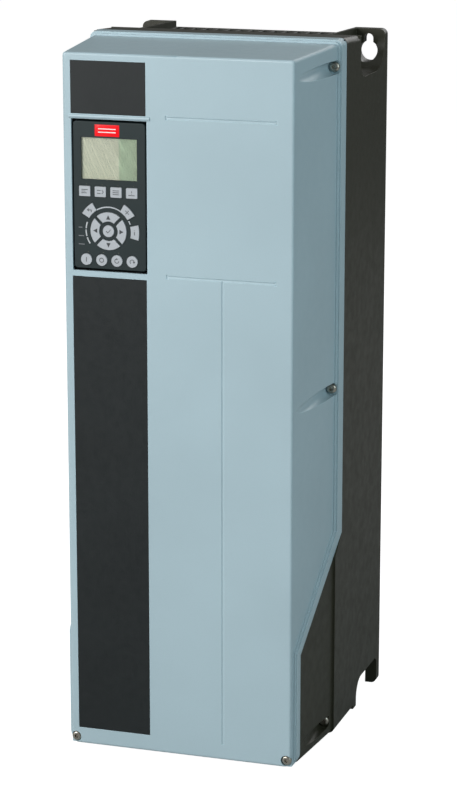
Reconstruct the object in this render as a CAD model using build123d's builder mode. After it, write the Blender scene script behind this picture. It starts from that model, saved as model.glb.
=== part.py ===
from build123d import *
import os
from math import cos, radians, sin

# Wall-mounted variable frequency drive, in millimetres. +Z is up, the front faces -Y.
# The origin is on the wall plane, on the centre line, level with the feet of the lower ears.

# ---------------------------------------------------------------- driving sizes
HALF_WIDTH = 121.0
DEPTH = 260.0
EAR_TOP = 650.0
HOLE_INSET = 16.0
HOLE_DROP = 9.0
LOWER_HOLE_Z = 17.0
KEYHOLE_SMALL_R = 4.5
KEYHOLE_LARGE_R = 9.5
KEYHOLE_DROP = 12.0
EAR_THICKNESS = 10.0
EAR_WIDTH = 28.0
EAR_CORNER_R = 5.5

# depths, all measured from the wall plane (negative is forward)
FRONT = -DEPTH
SEAM = -165.0
RIM_BACK = -144.0
RIM_LENGTH = 12.0
CHANNEL_FRONT = -95.0

# heights of the case, and its draft towards the front
CASE_BOTTOM = 1.5
CASE_TOP_BACK = EAR_TOP + 5.9
CASE_TOP_FRONT = CASE_TOP_BACK - 4.2
HOUSING_BOTTOM = 3.0
HOUSING_TOP_SLOPE = EAR_TOP + 3.0
SIDE_DRAFT = 11.0
CASE_HALF_FRONT = HALF_WIDTH - SIDE_DRAFT

# the line where the cover meets the housings, as it runs forward and down each side
BREAK_HIGH_Z = 195.5
BREAK_LOW_Z = 106.5
BREAK_LOW_Y = FRONT + 15.0

# walls and clearances
HOUSING_WALL = 4.0
COVER_WALL = 3.0
LAND = 7.0
RIM_STEP = 1.6
SLIDE_GAP = 0.5
SEAT_GAP = 0.15

# the front face of the partition between the electronics and the air channel
PARTITION_FACE = CHANNEL_FRONT - HOUSING_WALL

# pockets behind the ears
POCKET_FLOOR = EAR_TOP - 36.0
POCKET_R = 15.0
POCKET_SWEEP = 28.0
NOTCH_FRONT = -86.0
NOTCH_TOP = 28.0
NOTCH_R = 18.0
NOTCH_BACK_R = 8.0
WEB = 3.0
RIB_BAYS = 10

# fixing screws
SIDE_SCREW_X = HALF_WIDTH - 7.4
SIDE_SCREW_Z = (336.0, EAR_TOP - 18.5)
CORNER_SCREW_X = CASE_HALF_FRONT - 7.5
CORNER_SCREW_Z = 8.5
LOWER_SCREW_Z = 18.0
SCREW_R = 2.0
SCREW_HOLE_R = 2.2
SCREW_HEAD_R = 4.6
SCREW_HEAD_H = 3.2
SCREW_BOSS_R = 6.0
SCREW_DEPTH = 20.0
DRIVE_R = 1.7
SCOOP_R = 6.5
SCOOP_LENGTH = 82.0
LOWER_SCOOP_LENGTH = 55.0
LOWER_SCOOP_TILT = 3.6

# operator panel and the recesses beside it
PANEL_WIDTH = 68.0
PANEL_HEIGHT = 132.3
PANEL_LEFT = -CASE_HALF_FRONT + 12.2
PANEL_TOP = EAR_TOP - 62.0
PANEL_X = (PANEL_LEFT, PANEL_LEFT + PANEL_WIDTH)
PANEL_Z = (PANEL_TOP - PANEL_HEIGHT, PANEL_TOP)
PANEL_FACE = FRONT + 0.8
PANEL_DEPTH = 25.0
PANEL_GAP_X = 1.5
PANEL_GAP_Z = 2.2
PANEL_CORNER_R = 3.0
PANEL_SKIN = 2.0
KEY_PROUD = 0.9
KEY_GAP = 0.35
KEY_FLANGE = 0.8
INLAY_X = (PANEL_X[0] - 1.7, PANEL_X[1] + 0.8)
UPPER_INLAY_Z = (PANEL_Z[1] + 6.5, PANEL_Z[1] + 53.8)
LOWER_INLAY_Z = (18.0, PANEL_Z[0] - 7.4)
INLAY_RECESS = 0.9
INLAY_THICK = 0.8
INLAY_GAP = 0.25

# air channel behind the partition
CHANNEL_HALF = HALF_WIDTH - EAR_WIDTH - WEB
FIN_THICK = 1.5
FIN_PITCH = 5.6
FIN_ROOT = 10.0
SINK_Z = (108.0, EAR_TOP - 48.0)
SINK_WINDOW_HALF = CHANNEL_HALF - 6.0
SINK_LAP = 4.0
# the largest frame that fits side by side in the channel, and from its front to its back
FAN_SIZE = min(CHANNEL_HALF - 2.0, -CHANNEL_FRONT - 7.0)
FAN_HEIGHT = 26.0
FAN_Z = 62.0
FAN_BORE_R = FAN_SIZE / 2 - 3.0
ROTOR_GAP = 1.2
HUB_R = 15.0
BLADE_COUNT = 7
BLADE_PITCH = 40.0
BLADE_THICK = 1.6
GRILLE_TOP = EAR_TOP - 5.3
GRILLE_HEIGHT = 8.0
GRILLE_PITCH = 11.4
GRILLE_BAR = 3.0

# cable entry
GLAND_HALF = CASE_HALF_FRONT - 14.0
GLAND_Y = (FRONT + 20.0, SEAM - 7.0)
GLAND_THICK = 2.5
GLAND_LAP = 6.0
ENTRY_Y = sum(GLAND_Y) / 2
ENTRY_HOLES = ((-70.0, ENTRY_Y, 20.25), (-26.0, ENTRY_Y, 20.25), (14.0, ENTRY_Y, 16.25))
PLUG_HOLES = ((46.0, ENTRY_Y, 12.75), (75.5, ENTRY_Y - 14.0, 10.25), (75.5, ENTRY_Y + 14.0, 10.25))


# ---------------------------------------------------------------- shared shapes
def block(x, y, z, mode=Mode.ADD):
    """A box that fills three (low, high) spans."""
    with Locations(((x[0] + x[1]) / 2, (y[0] + y[1]) / 2, (z[0] + z[1]) / 2)):
        Box(abs(x[1] - x[0]), abs(y[1] - y[0]), abs(z[1] - z[0]), mode=mode)


def peg(x, z, radius, y, mode=Mode.ADD):
    """A round bar along Y that fills the span y."""
    with Locations(Location((x, (y[0] + y[1]) / 2, z), (90, 0, 0))):
        Cylinder(radius, abs(y[1] - y[0]), mode=mode)


def post(x, y, radius, z, mode=Mode.ADD):
    """A round bar along Z that fills the span z."""
    with Locations((x, y, (z[0] + z[1]) / 2)):
        Cylinder(radius, abs(z[1] - z[0]), mode=mode)


def case_section(y, inset, lift):
    """The case's outline at depth y, inset from its outer surface and lifted off its underside."""
    share = (RIM_BACK - y) / (RIM_BACK - FRONT)
    half = HALF_WIDTH + (CASE_HALF_FRONT - HALF_WIDTH) * share - inset
    top = CASE_TOP_BACK + (CASE_TOP_FRONT - CASE_TOP_BACK) * share - inset
    bottom = CASE_BOTTOM + lift
    with BuildSketch(Plane.XZ.offset(-y)) as section:
        with Locations((0, (top + bottom) / 2)):
            Rectangle(2 * half, top - bottom)
    return section.sketch


def case_taper(inset, front, back, mode=Mode.ADD, lift=None):
    """The drafted case between two depths, inset from its outer surface."""
    lift = inset if lift is None else lift
    loft([case_section(front, inset, lift), case_section(back, inset, lift)], mode=mode)


def draft_edges(part):
    """The four edges that run from front to back along the drafted case, lowest pair first."""
    return part.edges().filter_by(lambda e: abs(e.tangent_at(0).Y) > 0.9).sort_by(Axis.Z)


def side_profile(points, half, mode):
    """A closed outline of (y, z) points, extruded across the case."""
    with BuildSketch(Plane.YZ) as profile:
        with BuildLine():
            Polyline(*points, close=True)
        make_face()
    extrude(profile.sketch, amount=half, both=True, mode=mode)


def break_line(ahead):
    """The line between cover and housings, moved forward by ahead, from the top down."""
    return [
        (RIM_BACK - ahead, 2 * EAR_TOP),
        (RIM_BACK - ahead, BREAK_HIGH_Z + ahead / 3),
        (BREAK_LOW_Y - ahead * LAND / RIM_LENGTH, BREAK_LOW_Z + ahead / 3),
        (BREAK_LOW_Y - ahead * LAND / RIM_LENGTH, -DEPTH),
    ]


def ahead_of_break(ahead, mode):
    """Keeps or cuts everything in front of the break line."""
    far = 2 * FRONT
    side_profile(break_line(ahead) + [(far, -DEPTH), (far, 2 * EAR_TOP)], DEPTH, mode)


def behind_break(ahead, mode):
    """Keeps or cuts everything behind the break line."""
    side_profile(break_line(ahead) + [(DEPTH, -DEPTH), (DEPTH, 2 * EAR_TOP)], DEPTH, mode)


def screw(x, z, head_back, length):
    """A pan-head machine screw along Y whose head sits on the face at head_back."""
    head_front = head_back - SCREW_HEAD_H
    peg(x, z, SCREW_HEAD_R, (head_front, head_back))
    peg(x, z, SCREW_R, (head_back, head_back + length))
    rim = edges(Select.ALL).filter_by(GeomType.CIRCLE)
    rim = [e for e in rim if abs(e.center().Y - head_front) < SEAT_GAP and e.center().X * x > 0]
    fillet([e for e in rim if abs(e.center().Z - z) < SCREW_R], SCREW_HEAD_R / 4)
    with BuildSketch(Plane.XZ.offset(-head_front)) as drive:
        with Locations((x, z)):
            RegularPolygon(DRIVE_R, 6)
    extrude(drive.sketch, amount=-SCREW_HEAD_H / 2, mode=Mode.SUBTRACT)


def driver_scoop(side, z, seat_y, tilt=0.0):
    """A round groove that runs forward and outward from a side screw and fades out in the drafted side."""
    seat = Location((side * (SIDE_SCREW_X + 0.6), seat_y, z), (90, side * tilt, 0))
    with Locations(seat):
        Cylinder(SCOOP_R, 2 * SCOOP_LENGTH, align=(Align.CENTER, Align.CENTER, Align.MIN), mode=Mode.SUBTRACT)


# ---------------------------------------------------------------- rear housing
with BuildPart() as rear_housing:
    break_slope = (BREAK_HIGH_Z - BREAK_LOW_Z) / (RIM_BACK - BREAK_LOW_Y)
    side_profile(
        [
            (CHANNEL_FRONT, HOUSING_BOTTOM),
            (SEAM, HOUSING_BOTTOM),
            (SEAM, BREAK_HIGH_Z - (RIM_BACK - SEAM) * break_slope),
            (RIM_BACK, BREAK_HIGH_Z),
            (RIM_BACK, CASE_TOP_BACK),
            (CHANNEL_FRONT, HOUSING_TOP_SLOPE),
        ],
        HALF_WIDTH,
        Mode.ADD,
    )
    corners = rear_housing.edges().filter_by(lambda e: abs(e.center().X) > HALF_WIDTH - 1)
    fillet(corners.filter_by(lambda e: abs(e.tangent_at(0).Y) > 0.9), EAR_CORNER_R)
    block((-HALF_WIDTH + HOUSING_WALL, HALF_WIDTH - HOUSING_WALL), (RIM_BACK + LAND, PARTITION_FACE),
          (HOUSING_BOTTOM + HOUSING_WALL, HOUSING_TOP_SLOPE - HOUSING_WALL), Mode.SUBTRACT)
    block((-HALF_WIDTH + LAND, HALF_WIDTH - LAND), (SEAM - LAND, RIM_BACK + LAND),
          (HOUSING_BOTTOM + LAND, CASE_TOP_BACK - LAND), Mode.SUBTRACT)
    # the side columns that carry the ears, with the pockets above and below them
    for side in (-1, 1):
        with BuildSketch(Plane.YZ.offset(side * (HALF_WIDTH - EAR_WIDTH))) as column:
            with BuildLine():
                Polyline(
                    (0, 0),
                    (0, EAR_TOP),
                    (-EAR_THICKNESS, EAR_TOP),
                    (-EAR_THICKNESS, POCKET_FLOOR),
                    (CHANNEL_FRONT, POCKET_FLOOR),
                    (CHANNEL_FRONT, HOUSING_TOP_SLOPE),
                    (CHANNEL_FRONT - HOUSING_WALL / 2, HOUSING_TOP_SLOPE),
                    (CHANNEL_FRONT - HOUSING_WALL / 2, HOUSING_BOTTOM),
                    (NOTCH_FRONT, HOUSING_BOTTOM),
                    (NOTCH_FRONT, NOTCH_TOP),
                    (-EAR_THICKNESS, NOTCH_TOP),
                    (-EAR_THICKNESS, 0),
                    close=True,
                )
            make_face()
            corner = column.vertices()
            fillet(corner.sort_by_distance((CHANNEL_FRONT, POCKET_FLOOR))[0], POCKET_R)
            corner = column.vertices()
            fillet(corner.sort_by_distance((-EAR_THICKNESS, POCKET_FLOOR))[0], POCKET_SWEEP)
            corner = column.vertices()
            fillet(corner.sort_by_distance((NOTCH_FRONT, NOTCH_TOP))[0], NOTCH_R)
            corner = column.vertices()
            fillet(corner.sort_by_distance((-EAR_THICKNESS, NOTCH_TOP))[0], NOTCH_BACK_R)
        extrude(amount=side * EAR_WIDTH)
        # web between pocket and air channel
        with BuildSketch(Plane.YZ.offset(side * CHANNEL_HALF)):
            with BuildLine():
                front_edge = ((CHANNEL_FRONT, HOUSING_TOP_SLOPE), (CHANNEL_FRONT, 0))
                Polyline((0, 0), (0, EAR_TOP), *front_edge, close=True)
            make_face()
        extrude(amount=side * WEB)
        # lightening pockets open to the wall
        rib_pitch = (POCKET_FLOOR - NOTCH_TOP) / RIB_BAYS
        column_x = side * (HALF_WIDTH - EAR_WIDTH / 2)
        for step in range(RIB_BAYS):
            middle = NOTCH_TOP + rib_pitch * (step + 0.5)
            reach = rib_pitch / 2 - HOUSING_WALL
            block((column_x - EAR_WIDTH / 2 + HOUSING_WALL, column_x + EAR_WIDTH / 2 - HOUSING_WALL),
                  (CHANNEL_FRONT, 0), (middle - reach, middle + reach), Mode.SUBTRACT)
        # keyhole above, open slot below
        hole_x = side * (HALF_WIDTH - HOLE_INSET)
        upper_z = EAR_TOP - HOLE_DROP
        wide_z = upper_z - KEYHOLE_DROP
        peg(hole_x, wide_z, KEYHOLE_LARGE_R, (NOTCH_FRONT / 2, 0), Mode.SUBTRACT)
        peg(hole_x, upper_z, KEYHOLE_SMALL_R, (-EAR_THICKNESS, 0), Mode.SUBTRACT)
        peg(hole_x, upper_z, KEYHOLE_LARGE_R, (NOTCH_FRONT / 2, -EAR_THICKNESS), Mode.SUBTRACT)
        slot_x = (hole_x - KEYHOLE_SMALL_R, hole_x + KEYHOLE_SMALL_R)
        block(slot_x, (-EAR_THICKNESS, 0), (wide_z, upper_z), Mode.SUBTRACT)
        peg(hole_x, LOWER_HOLE_Z, KEYHOLE_SMALL_R, (-2 * EAR_THICKNESS, 0), Mode.SUBTRACT)
        block(slot_x, (-2 * EAR_THICKNESS, 0), (-1, LOWER_HOLE_Z), Mode.SUBTRACT)
        # tapped bosses for the cover and for the lower housing
        for z in SIDE_SCREW_Z:
            peg(side * SIDE_SCREW_X, z, SCREW_BOSS_R, (RIM_BACK, RIM_BACK + SCREW_DEPTH + HOUSING_WALL))
            peg(side * SIDE_SCREW_X, z, SCREW_HOLE_R, (RIM_BACK, RIM_BACK + SCREW_DEPTH), Mode.SUBTRACT)
        peg(side * SIDE_SCREW_X, LOWER_SCREW_Z, SCREW_BOSS_R, (SEAM, SEAM + SCREW_DEPTH + HOUSING_WALL))
        peg(side * SIDE_SCREW_X, LOWER_SCREW_Z, SCREW_HOLE_R, (SEAM, SEAM + SCREW_DEPTH), Mode.SUBTRACT)
    # window for the heat sink
    block((-SINK_WINDOW_HALF, SINK_WINDOW_HALF), (PARTITION_FACE, CHANNEL_FRONT), SINK_Z, Mode.SUBTRACT)
    # round the outer corners of the ears
    ear_corners = rear_housing.edges().filter_by(Axis.Y).filter_by(
        lambda e: abs(abs(e.center().X) - HALF_WIDTH) < 0.1 and abs(e.length - EAR_THICKNESS) < 0.1
    )
    fillet(ear_corners, EAR_CORNER_R)
rear_housing.part.label = "rear_housing"
os.makedirs("parts", exist_ok=True)
export_step(rear_housing.part, "parts/rear_housing.step")

# ---------------------------------------------------------------- heat sink and air channel
SINK_HALF = SINK_WINDOW_HALF + SINK_LAP
SINK_FACE = PARTITION_FACE - FIN_ROOT
with BuildPart() as heat_sink:
    fin_root = SINK_FACE + FIN_ROOT
    block((-SINK_HALF, SINK_HALF), (SINK_FACE, fin_root), (SINK_Z[0] - SINK_LAP, SINK_Z[1] + SINK_LAP))
    with BuildSketch(Plane.XZ.offset(-fin_root)):
        with Locations((0, sum(SINK_Z) / 2)):
            with GridLocations(FIN_PITCH, 1, round(2 * SINK_WINDOW_HALF / FIN_PITCH) - 1, 1):
                Rectangle(FIN_THICK, SINK_Z[1] - SINK_Z[0] - 2 * SLIDE_GAP)
    extrude(amount=fin_root + 2 * SLIDE_GAP)
heat_sink.part.label = "heat_sink"
export_step(heat_sink.part, "parts/heat_sink.step")

with BuildPart() as top_air_grille:
    grille_half = CHANNEL_HALF - SLIDE_GAP
    grille_y = (CHANNEL_FRONT + SLIDE_GAP, -HOUSING_WALL)
    grille_z = (GRILLE_TOP - GRILLE_HEIGHT, GRILLE_TOP)
    block((-grille_half, grille_half), grille_y, grille_z)
    block((-grille_half + HOUSING_WALL, grille_half - HOUSING_WALL),
          (grille_y[0] + HOUSING_WALL, grille_y[1] - HOUSING_WALL), grille_z, Mode.SUBTRACT)
    with Locations((0, sum(grille_y) / 2, sum(grille_z) / 2)):
        with GridLocations(GRILLE_PITCH, 1, int(2 * grille_half / GRILLE_PITCH), 1):
            Box(GRILLE_BAR, grille_y[1] - grille_y[0], GRILLE_HEIGHT)
    fillet(top_air_grille.edges().filter_by(Axis.Y).group_by(Axis.Z)[-1], GRILLE_BAR / 4)
top_air_grille.part.label = "top_air_grille"
export_step(top_air_grille.part, "parts/top_air_grille.step")

FAN_X = FAN_SIZE / 2 + 1.5
FAN_Y = -49.0
FAN_ARM = 4.0
with BuildPart() as channel_fan_frames:
    for x in (-FAN_X, FAN_X):
        with BuildSketch(Plane.XY.offset(FAN_Z)):
            with Locations((x, FAN_Y)):
                RectangleRounded(FAN_SIZE, FAN_SIZE, HOUSING_WALL)
                Circle(FAN_BORE_R, mode=Mode.SUBTRACT)
                with GridLocations(FAN_SIZE - 10, FAN_SIZE - 10, 2, 2):
                    Circle(SCREW_HOLE_R, mode=Mode.SUBTRACT)
        extrude(amount=FAN_HEIGHT)
        # motor seat held by three arms below the rotor
        with BuildSketch(Plane.XY.offset(FAN_Z)):
            with Locations((x, FAN_Y)):
                Circle(HUB_R)
                with PolarLocations(FAN_BORE_R / 2, 3, start_angle=30):
                    Rectangle(FAN_BORE_R + 2, FAN_ARM)
        extrude(amount=FAN_ARM)
        post(x, FAN_Y, HUB_R / 3, (FAN_Z, FAN_Z + FAN_HEIGHT - FAN_ARM - 2))
channel_fan_frames.part.label = "channel_fan_frames"
export_step(channel_fan_frames.part, "parts/channel_fan_frames.step")


def fan_rotor(x, y, base, height, hub_r, tip_r, bore_r):
    """A hub with twisted blades about a vertical axis, open below for its spindle."""
    post(x, y, hub_r, (base, base + height))
    for blade in range(BLADE_COUNT):
        turn = 360 / BLADE_COUNT * blade
        root = (hub_r + tip_r) / 2
        middle = (x + root * cos(radians(turn)), y + root * sin(radians(turn)), base + height / 2)
        spot = Location(middle, (0, 0, turn))
        with Locations(spot * Location((0, 0, 0), (BLADE_PITCH, 0, 0))):
            Box(tip_r - hub_r + 2, height * 1.15, BLADE_THICK)
    post(x, y, tip_r, (base, base + height), Mode.INTERSECT)
    post(x, y, bore_r, (base, base + height - 3), Mode.SUBTRACT)


ROTOR_BASE = FAN_Z + FAN_ARM + ROTOR_GAP
ROTOR_HEIGHT = FAN_HEIGHT - FAN_ARM - 2 * ROTOR_GAP
SPINDLE_GAP = 0.05
FAN_TIP_R = FAN_BORE_R - ROTOR_GAP
with BuildPart() as channel_rotor_left:
    fan_rotor(-FAN_X, FAN_Y, ROTOR_BASE, ROTOR_HEIGHT, HUB_R, FAN_TIP_R, HUB_R / 3 + SPINDLE_GAP)
channel_rotor_left.part.label = "channel_rotor_left"
export_step(channel_rotor_left.part, "parts/channel_rotor_left.step")

with BuildPart() as channel_rotor_right:
    fan_rotor(FAN_X, FAN_Y, ROTOR_BASE, ROTOR_HEIGHT, HUB_R, FAN_TIP_R, HUB_R / 3 + SPINDLE_GAP)
channel_rotor_right.part.label = "channel_rotor_right"
export_step(channel_rotor_right.part, "parts/channel_rotor_right.step")

GUARD_THICK = 2.0
GUARD_RINGS = (12.0, 20.0, 28.0, 36.0)
with BuildPart() as fan_guard:
    guard_y = (CHANNEL_FRONT + SLIDE_GAP, -HOUSING_WALL)
    with BuildSketch(Plane.XY.offset(FAN_Z - GUARD_THICK)):
        with Locations((0, sum(guard_y) / 2)):
            Rectangle(2 * (CHANNEL_HALF - SLIDE_GAP), guard_y[1] - guard_y[0])
        with Locations((-FAN_X, FAN_Y), (FAN_X, FAN_Y)):
            Circle(FAN_BORE_R, mode=Mode.SUBTRACT)
    extrude(amount=GUARD_THICK)
    with BuildSketch(Plane.XY.offset(FAN_Z - GUARD_THICK)):
        with Locations((-FAN_X, FAN_Y), (FAN_X, FAN_Y)):
            Rectangle(2 * FAN_BORE_R + 2, GUARD_THICK)
            Rectangle(GUARD_THICK, 2 * FAN_BORE_R + 2)
        for ring in GUARD_RINGS:
            with Locations((-FAN_X, FAN_Y), (FAN_X, FAN_Y)):
                Circle(ring + GUARD_THICK / 2)
                Circle(ring - GUARD_THICK / 2, mode=Mode.SUBTRACT)
        with Locations((-FAN_X, FAN_Y), (FAN_X, FAN_Y)):
            Rectangle(2 * FAN_BORE_R + 2, GUARD_THICK)
            Rectangle(GUARD_THICK, 2 * FAN_BORE_R + 2)
    extrude(amount=GUARD_THICK)
fan_guard.part.label = "fan_guard"
export_step(fan_guard.part, "parts/fan_guard.step")

# ---------------------------------------------------------------- lower housing and cable entry
FLOOR_TOP = CASE_BOTTOM + HOUSING_WALL
LOWER_CORNER_R = 7.5
GLAND_SCREW_X = GLAND_HALF - GLAND_LAP / 2
GLAND_SCREW_Y = (GLAND_Y[0] + GLAND_LAP / 2, GLAND_Y[1] - GLAND_LAP / 2)
GLAND_SCREWS = [(x, y) for x in (-GLAND_SCREW_X, 0.0, GLAND_SCREW_X) for y in GLAND_SCREW_Y]
GLAND_SCREW_R = 1.5
with BuildPart() as lower_walls:
    case_taper(0, BREAK_LOW_Y, SEAM)
    fillet(draft_edges(lower_walls)[0:2], LOWER_CORNER_R)
    behind_break(0, Mode.INTERSECT)
    case_taper(HOUSING_WALL, BREAK_LOW_Y - LAND, SEAM + LAND, Mode.SUBTRACT)

# thicker sealing land along the break line
with BuildPart() as lower_land:
    case_taper(0, BREAK_LOW_Y, SEAM)
    fillet(draft_edges(lower_land)[0:2], LOWER_CORNER_R)
    behind_break(0, Mode.INTERSECT)
    ahead_of_break(-LAND, Mode.INTERSECT)
    case_taper(LAND, BREAK_LOW_Y - LAND, SEAM + LAND, Mode.SUBTRACT)

with BuildPart() as lower_bosses:
    for side in (-1, 1):
        boss_end = BREAK_LOW_Y + SCREW_DEPTH + HOUSING_WALL
        peg(side * CORNER_SCREW_X, CORNER_SCREW_Z, SCREW_BOSS_R, (BREAK_LOW_Y, boss_end))
        peg(side * SIDE_SCREW_X, LOWER_SCREW_Z, SCOOP_R + HOUSING_WALL, (SEAM - LOWER_SCOOP_LENGTH, SEAM))
    case_taper(0, BREAK_LOW_Y, SEAM, Mode.INTERSECT)

with BuildPart() as lower_housing:
    add(lower_walls.part)
    add(lower_land.part)
    add(lower_bosses.part)
    for side in (-1, 1):
        hole_y = (BREAK_LOW_Y, BREAK_LOW_Y + SCREW_DEPTH)
        peg(side * CORNER_SCREW_X, CORNER_SCREW_Z, SCREW_HOLE_R, hole_y, Mode.SUBTRACT)
        peg(side * SIDE_SCREW_X, LOWER_SCREW_Z, SCREW_HOLE_R, (SEAM - 2 * LAND, SEAM), Mode.SUBTRACT)
        head_y = (SEAM - LAND - SCREW_HEAD_H, SEAM - LAND)
        peg(side * SIDE_SCREW_X, LOWER_SCREW_Z, SCREW_HEAD_R + SLIDE_GAP, head_y, Mode.SUBTRACT)
        driver_scoop(side, LOWER_SCREW_Z, SEAM - LAND - SLIDE_GAP, LOWER_SCOOP_TILT)
    block((-GLAND_HALF + GLAND_LAP, GLAND_HALF - GLAND_LAP), (GLAND_Y[0] + GLAND_LAP, GLAND_Y[1] - GLAND_LAP),
          (0, FLOOR_TOP), Mode.SUBTRACT)
    for x, y in GLAND_SCREWS:
        post(x, y, GLAND_SCREW_R, (0, FLOOR_TOP), Mode.SUBTRACT)
lower_housing.part.label = "lower_housing"
export_step(lower_housing.part, "parts/lower_housing.step")

with BuildPart() as lower_housing_screws:
    for side in (-1, 1):
        screw(side * SIDE_SCREW_X, LOWER_SCREW_Z, SEAM - LAND, SCREW_DEPTH)
lower_housing_screws.part.label = "lower_housing_screws"
export_step(lower_housing_screws.part, "parts/lower_housing_screws.step")

with BuildPart() as gland_plate:
    with BuildSketch(Plane.XY.offset(FLOOR_TOP)):
        with Locations((0, sum(GLAND_Y) / 2)):
            RectangleRounded(2 * GLAND_HALF, GLAND_Y[1] - GLAND_Y[0], 2)
        for x, y, radius in ENTRY_HOLES + PLUG_HOLES:
            with Locations((x, y)):
                Circle(radius, mode=Mode.SUBTRACT)
        with Locations(*GLAND_SCREWS):
            Circle(GLAND_SCREW_R, mode=Mode.SUBTRACT)
    extrude(amount=GLAND_THICK)
gland_plate.part.label = "gland_plate"
export_step(gland_plate.part, "parts/gland_plate.step")

with BuildPart() as gland_plate_screws:
    for x, y in GLAND_SCREWS:
        post(x, y, 2 * GLAND_SCREW_R, (FLOOR_TOP + GLAND_THICK, FLOOR_TOP + GLAND_THICK + 2))
        post(x, y, GLAND_SCREW_R, (FLOOR_TOP - 3, FLOOR_TOP + GLAND_THICK))
gland_plate_screws.part.label = "gland_plate_screws"
export_step(gland_plate_screws.part, "parts/gland_plate_screws.step")

PLUG_HEAD_LAP = 3.0
with BuildPart() as blanking_plugs:
    for x, y, radius in PLUG_HOLES:
        post(x, y, radius + PLUG_HEAD_LAP, (FLOOR_TOP - 4, FLOOR_TOP))
        post(x, y, radius, (FLOOR_TOP, FLOOR_TOP + GLAND_THICK))
        post(x, y, radius + PLUG_HEAD_LAP - 0.5, (FLOOR_TOP + GLAND_THICK, FLOOR_TOP + GLAND_THICK + 4))
blanking_plugs.part.label = "blanking_plugs"
export_step(blanking_plugs.part, "parts/blanking_plugs.step")

RAIL_Z = (56.0, 72.0)
RAIL_Y = (-190.0, -187.0)
RAIL_HALF = HALF_WIDTH - 15.0
CLAMP_R = 14.0
CLAMP_THICK = 2.0
with BuildPart() as earth_rail:
    block((-RAIL_HALF, RAIL_HALF), RAIL_Y, RAIL_Z)
    for side in (-1, 1):
        block((side * (RAIL_HALF - 3), side * RAIL_HALF), (RAIL_Y[0], PARTITION_FACE), RAIL_Z)
        block((side * (RAIL_HALF - 14), side * RAIL_HALF), (PARTITION_FACE - 3, PARTITION_FACE), RAIL_Z)
earth_rail.part.label = "earth_rail"
export_step(earth_rail.part, "parts/earth_rail.step")

with BuildPart() as cable_clamps:
    for x, y, radius in ENTRY_HOLES:
        clamp_y = RAIL_Y[0] - CLAMP_R
        with BuildSketch(Plane.XY.offset(RAIL_Z[0] + 2)):
            with Locations((x, clamp_y)):
                Circle(CLAMP_R)
            with Locations((x, (clamp_y + RAIL_Y[0]) / 2)):
                Rectangle(2 * CLAMP_R, RAIL_Y[0] - clamp_y)
            with Locations((x, RAIL_Y[0] - CLAMP_THICK / 2)):
                Rectangle(2 * CLAMP_R + 10, CLAMP_THICK)
            with Locations((x, clamp_y)):
                Circle(CLAMP_R - CLAMP_THICK, mode=Mode.SUBTRACT)
            with Locations((x, (clamp_y + RAIL_Y[0]) / 2)):
                Rectangle(2 * (CLAMP_R - CLAMP_THICK), RAIL_Y[0] - clamp_y + 1, mode=Mode.SUBTRACT)
        extrude(amount=RAIL_Z[1] - RAIL_Z[0] - 4)
cable_clamps.part.label = "cable_clamps"
export_step(cable_clamps.part, "parts/cable_clamps.step")

# ---------------------------------------------------------------- power electronics on the heat sink
CARD_THICK = 1.6
CARD_HALF = 92.0
CARD_Z = (255.0, 475.0)
CARD_FRONT = SINK_FACE - 28.0
CARD_BACK = CARD_FRONT + CARD_THICK
MODULE_HEIGHT = 17.0
PIN_HALF = 0.6
with BuildPart() as power_card:
    block((-CARD_HALF, CARD_HALF), (CARD_FRONT, CARD_BACK), CARD_Z)
    # gate drive transformers and relays
    for x in (-70.0, -40.0, 40.0, 70.0):
        block((x - 9, x + 9), (CARD_FRONT - 14, CARD_FRONT), (CARD_Z[0] + 18, CARD_Z[0] + 40))
power_card.part.label = "power_card"
export_step(power_card.part, "parts/power_card.step")

with BuildPart() as power_card_spacers:
    for x in (-CARD_HALF + 6, 0, CARD_HALF - 6):
        for z in (CARD_Z[0] + 6, CARD_Z[1] - 6):
            peg(x, z, 3.0, (CARD_BACK, SINK_FACE))
power_card_spacers.part.label = "power_card_spacers"
export_step(power_card_spacers.part, "parts/power_card_spacers.step")

CAPACITOR_R = 17.5
CAPACITOR_LENGTH = 50.0
with BuildPart() as dc_capacitors:
    for x in (-66.0, -22.0, 22.0, 66.0):
        for z in (CARD_Z[1] - 118, CARD_Z[1] - 78, CARD_Z[1] - 38):
            peg(x, z, CAPACITOR_R, (CARD_FRONT - CAPACITOR_LENGTH, CARD_FRONT))
    tops = dc_capacitors.edges().filter_by(GeomType.CIRCLE).group_by(Axis.Y)[0]
    fillet(tops, 1.5)
dc_capacitors.part.label = "dc_capacitors"
export_step(dc_capacitors.part, "parts/dc_capacitors.step")


def power_module(x, z):
    """A flat moulded power module on the heat sink with two rows of pins up to the card."""
    block(x, (SINK_FACE - MODULE_HEIGHT, SINK_FACE), z)
    pins = int((x[1] - x[0]) / 12)
    for pin in range(pins):
        pin_x = x[0] + (x[1] - x[0]) * (pin + 0.5) / pins
        for pin_z in (z[0] + 4, z[1] - 4):
            pin_y = (CARD_BACK, SINK_FACE - MODULE_HEIGHT)
            block((pin_x - PIN_HALF, pin_x + PIN_HALF), pin_y, (pin_z - PIN_HALF, pin_z + PIN_HALF))


with BuildPart() as rectifier_module:
    power_module((-75.0, 20.0), (CARD_Z[0] + 140, CARD_Z[0] + 190))
rectifier_module.part.label = "rectifier_module"
export_step(rectifier_module.part, "parts/rectifier_module.step")

with BuildPart() as inverter_module:
    power_module((-60.0, 62.0), (CARD_Z[0] + 40, CARD_Z[0] + 102))
inverter_module.part.label = "inverter_module"
export_step(inverter_module.part, "parts/inverter_module.step")

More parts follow.
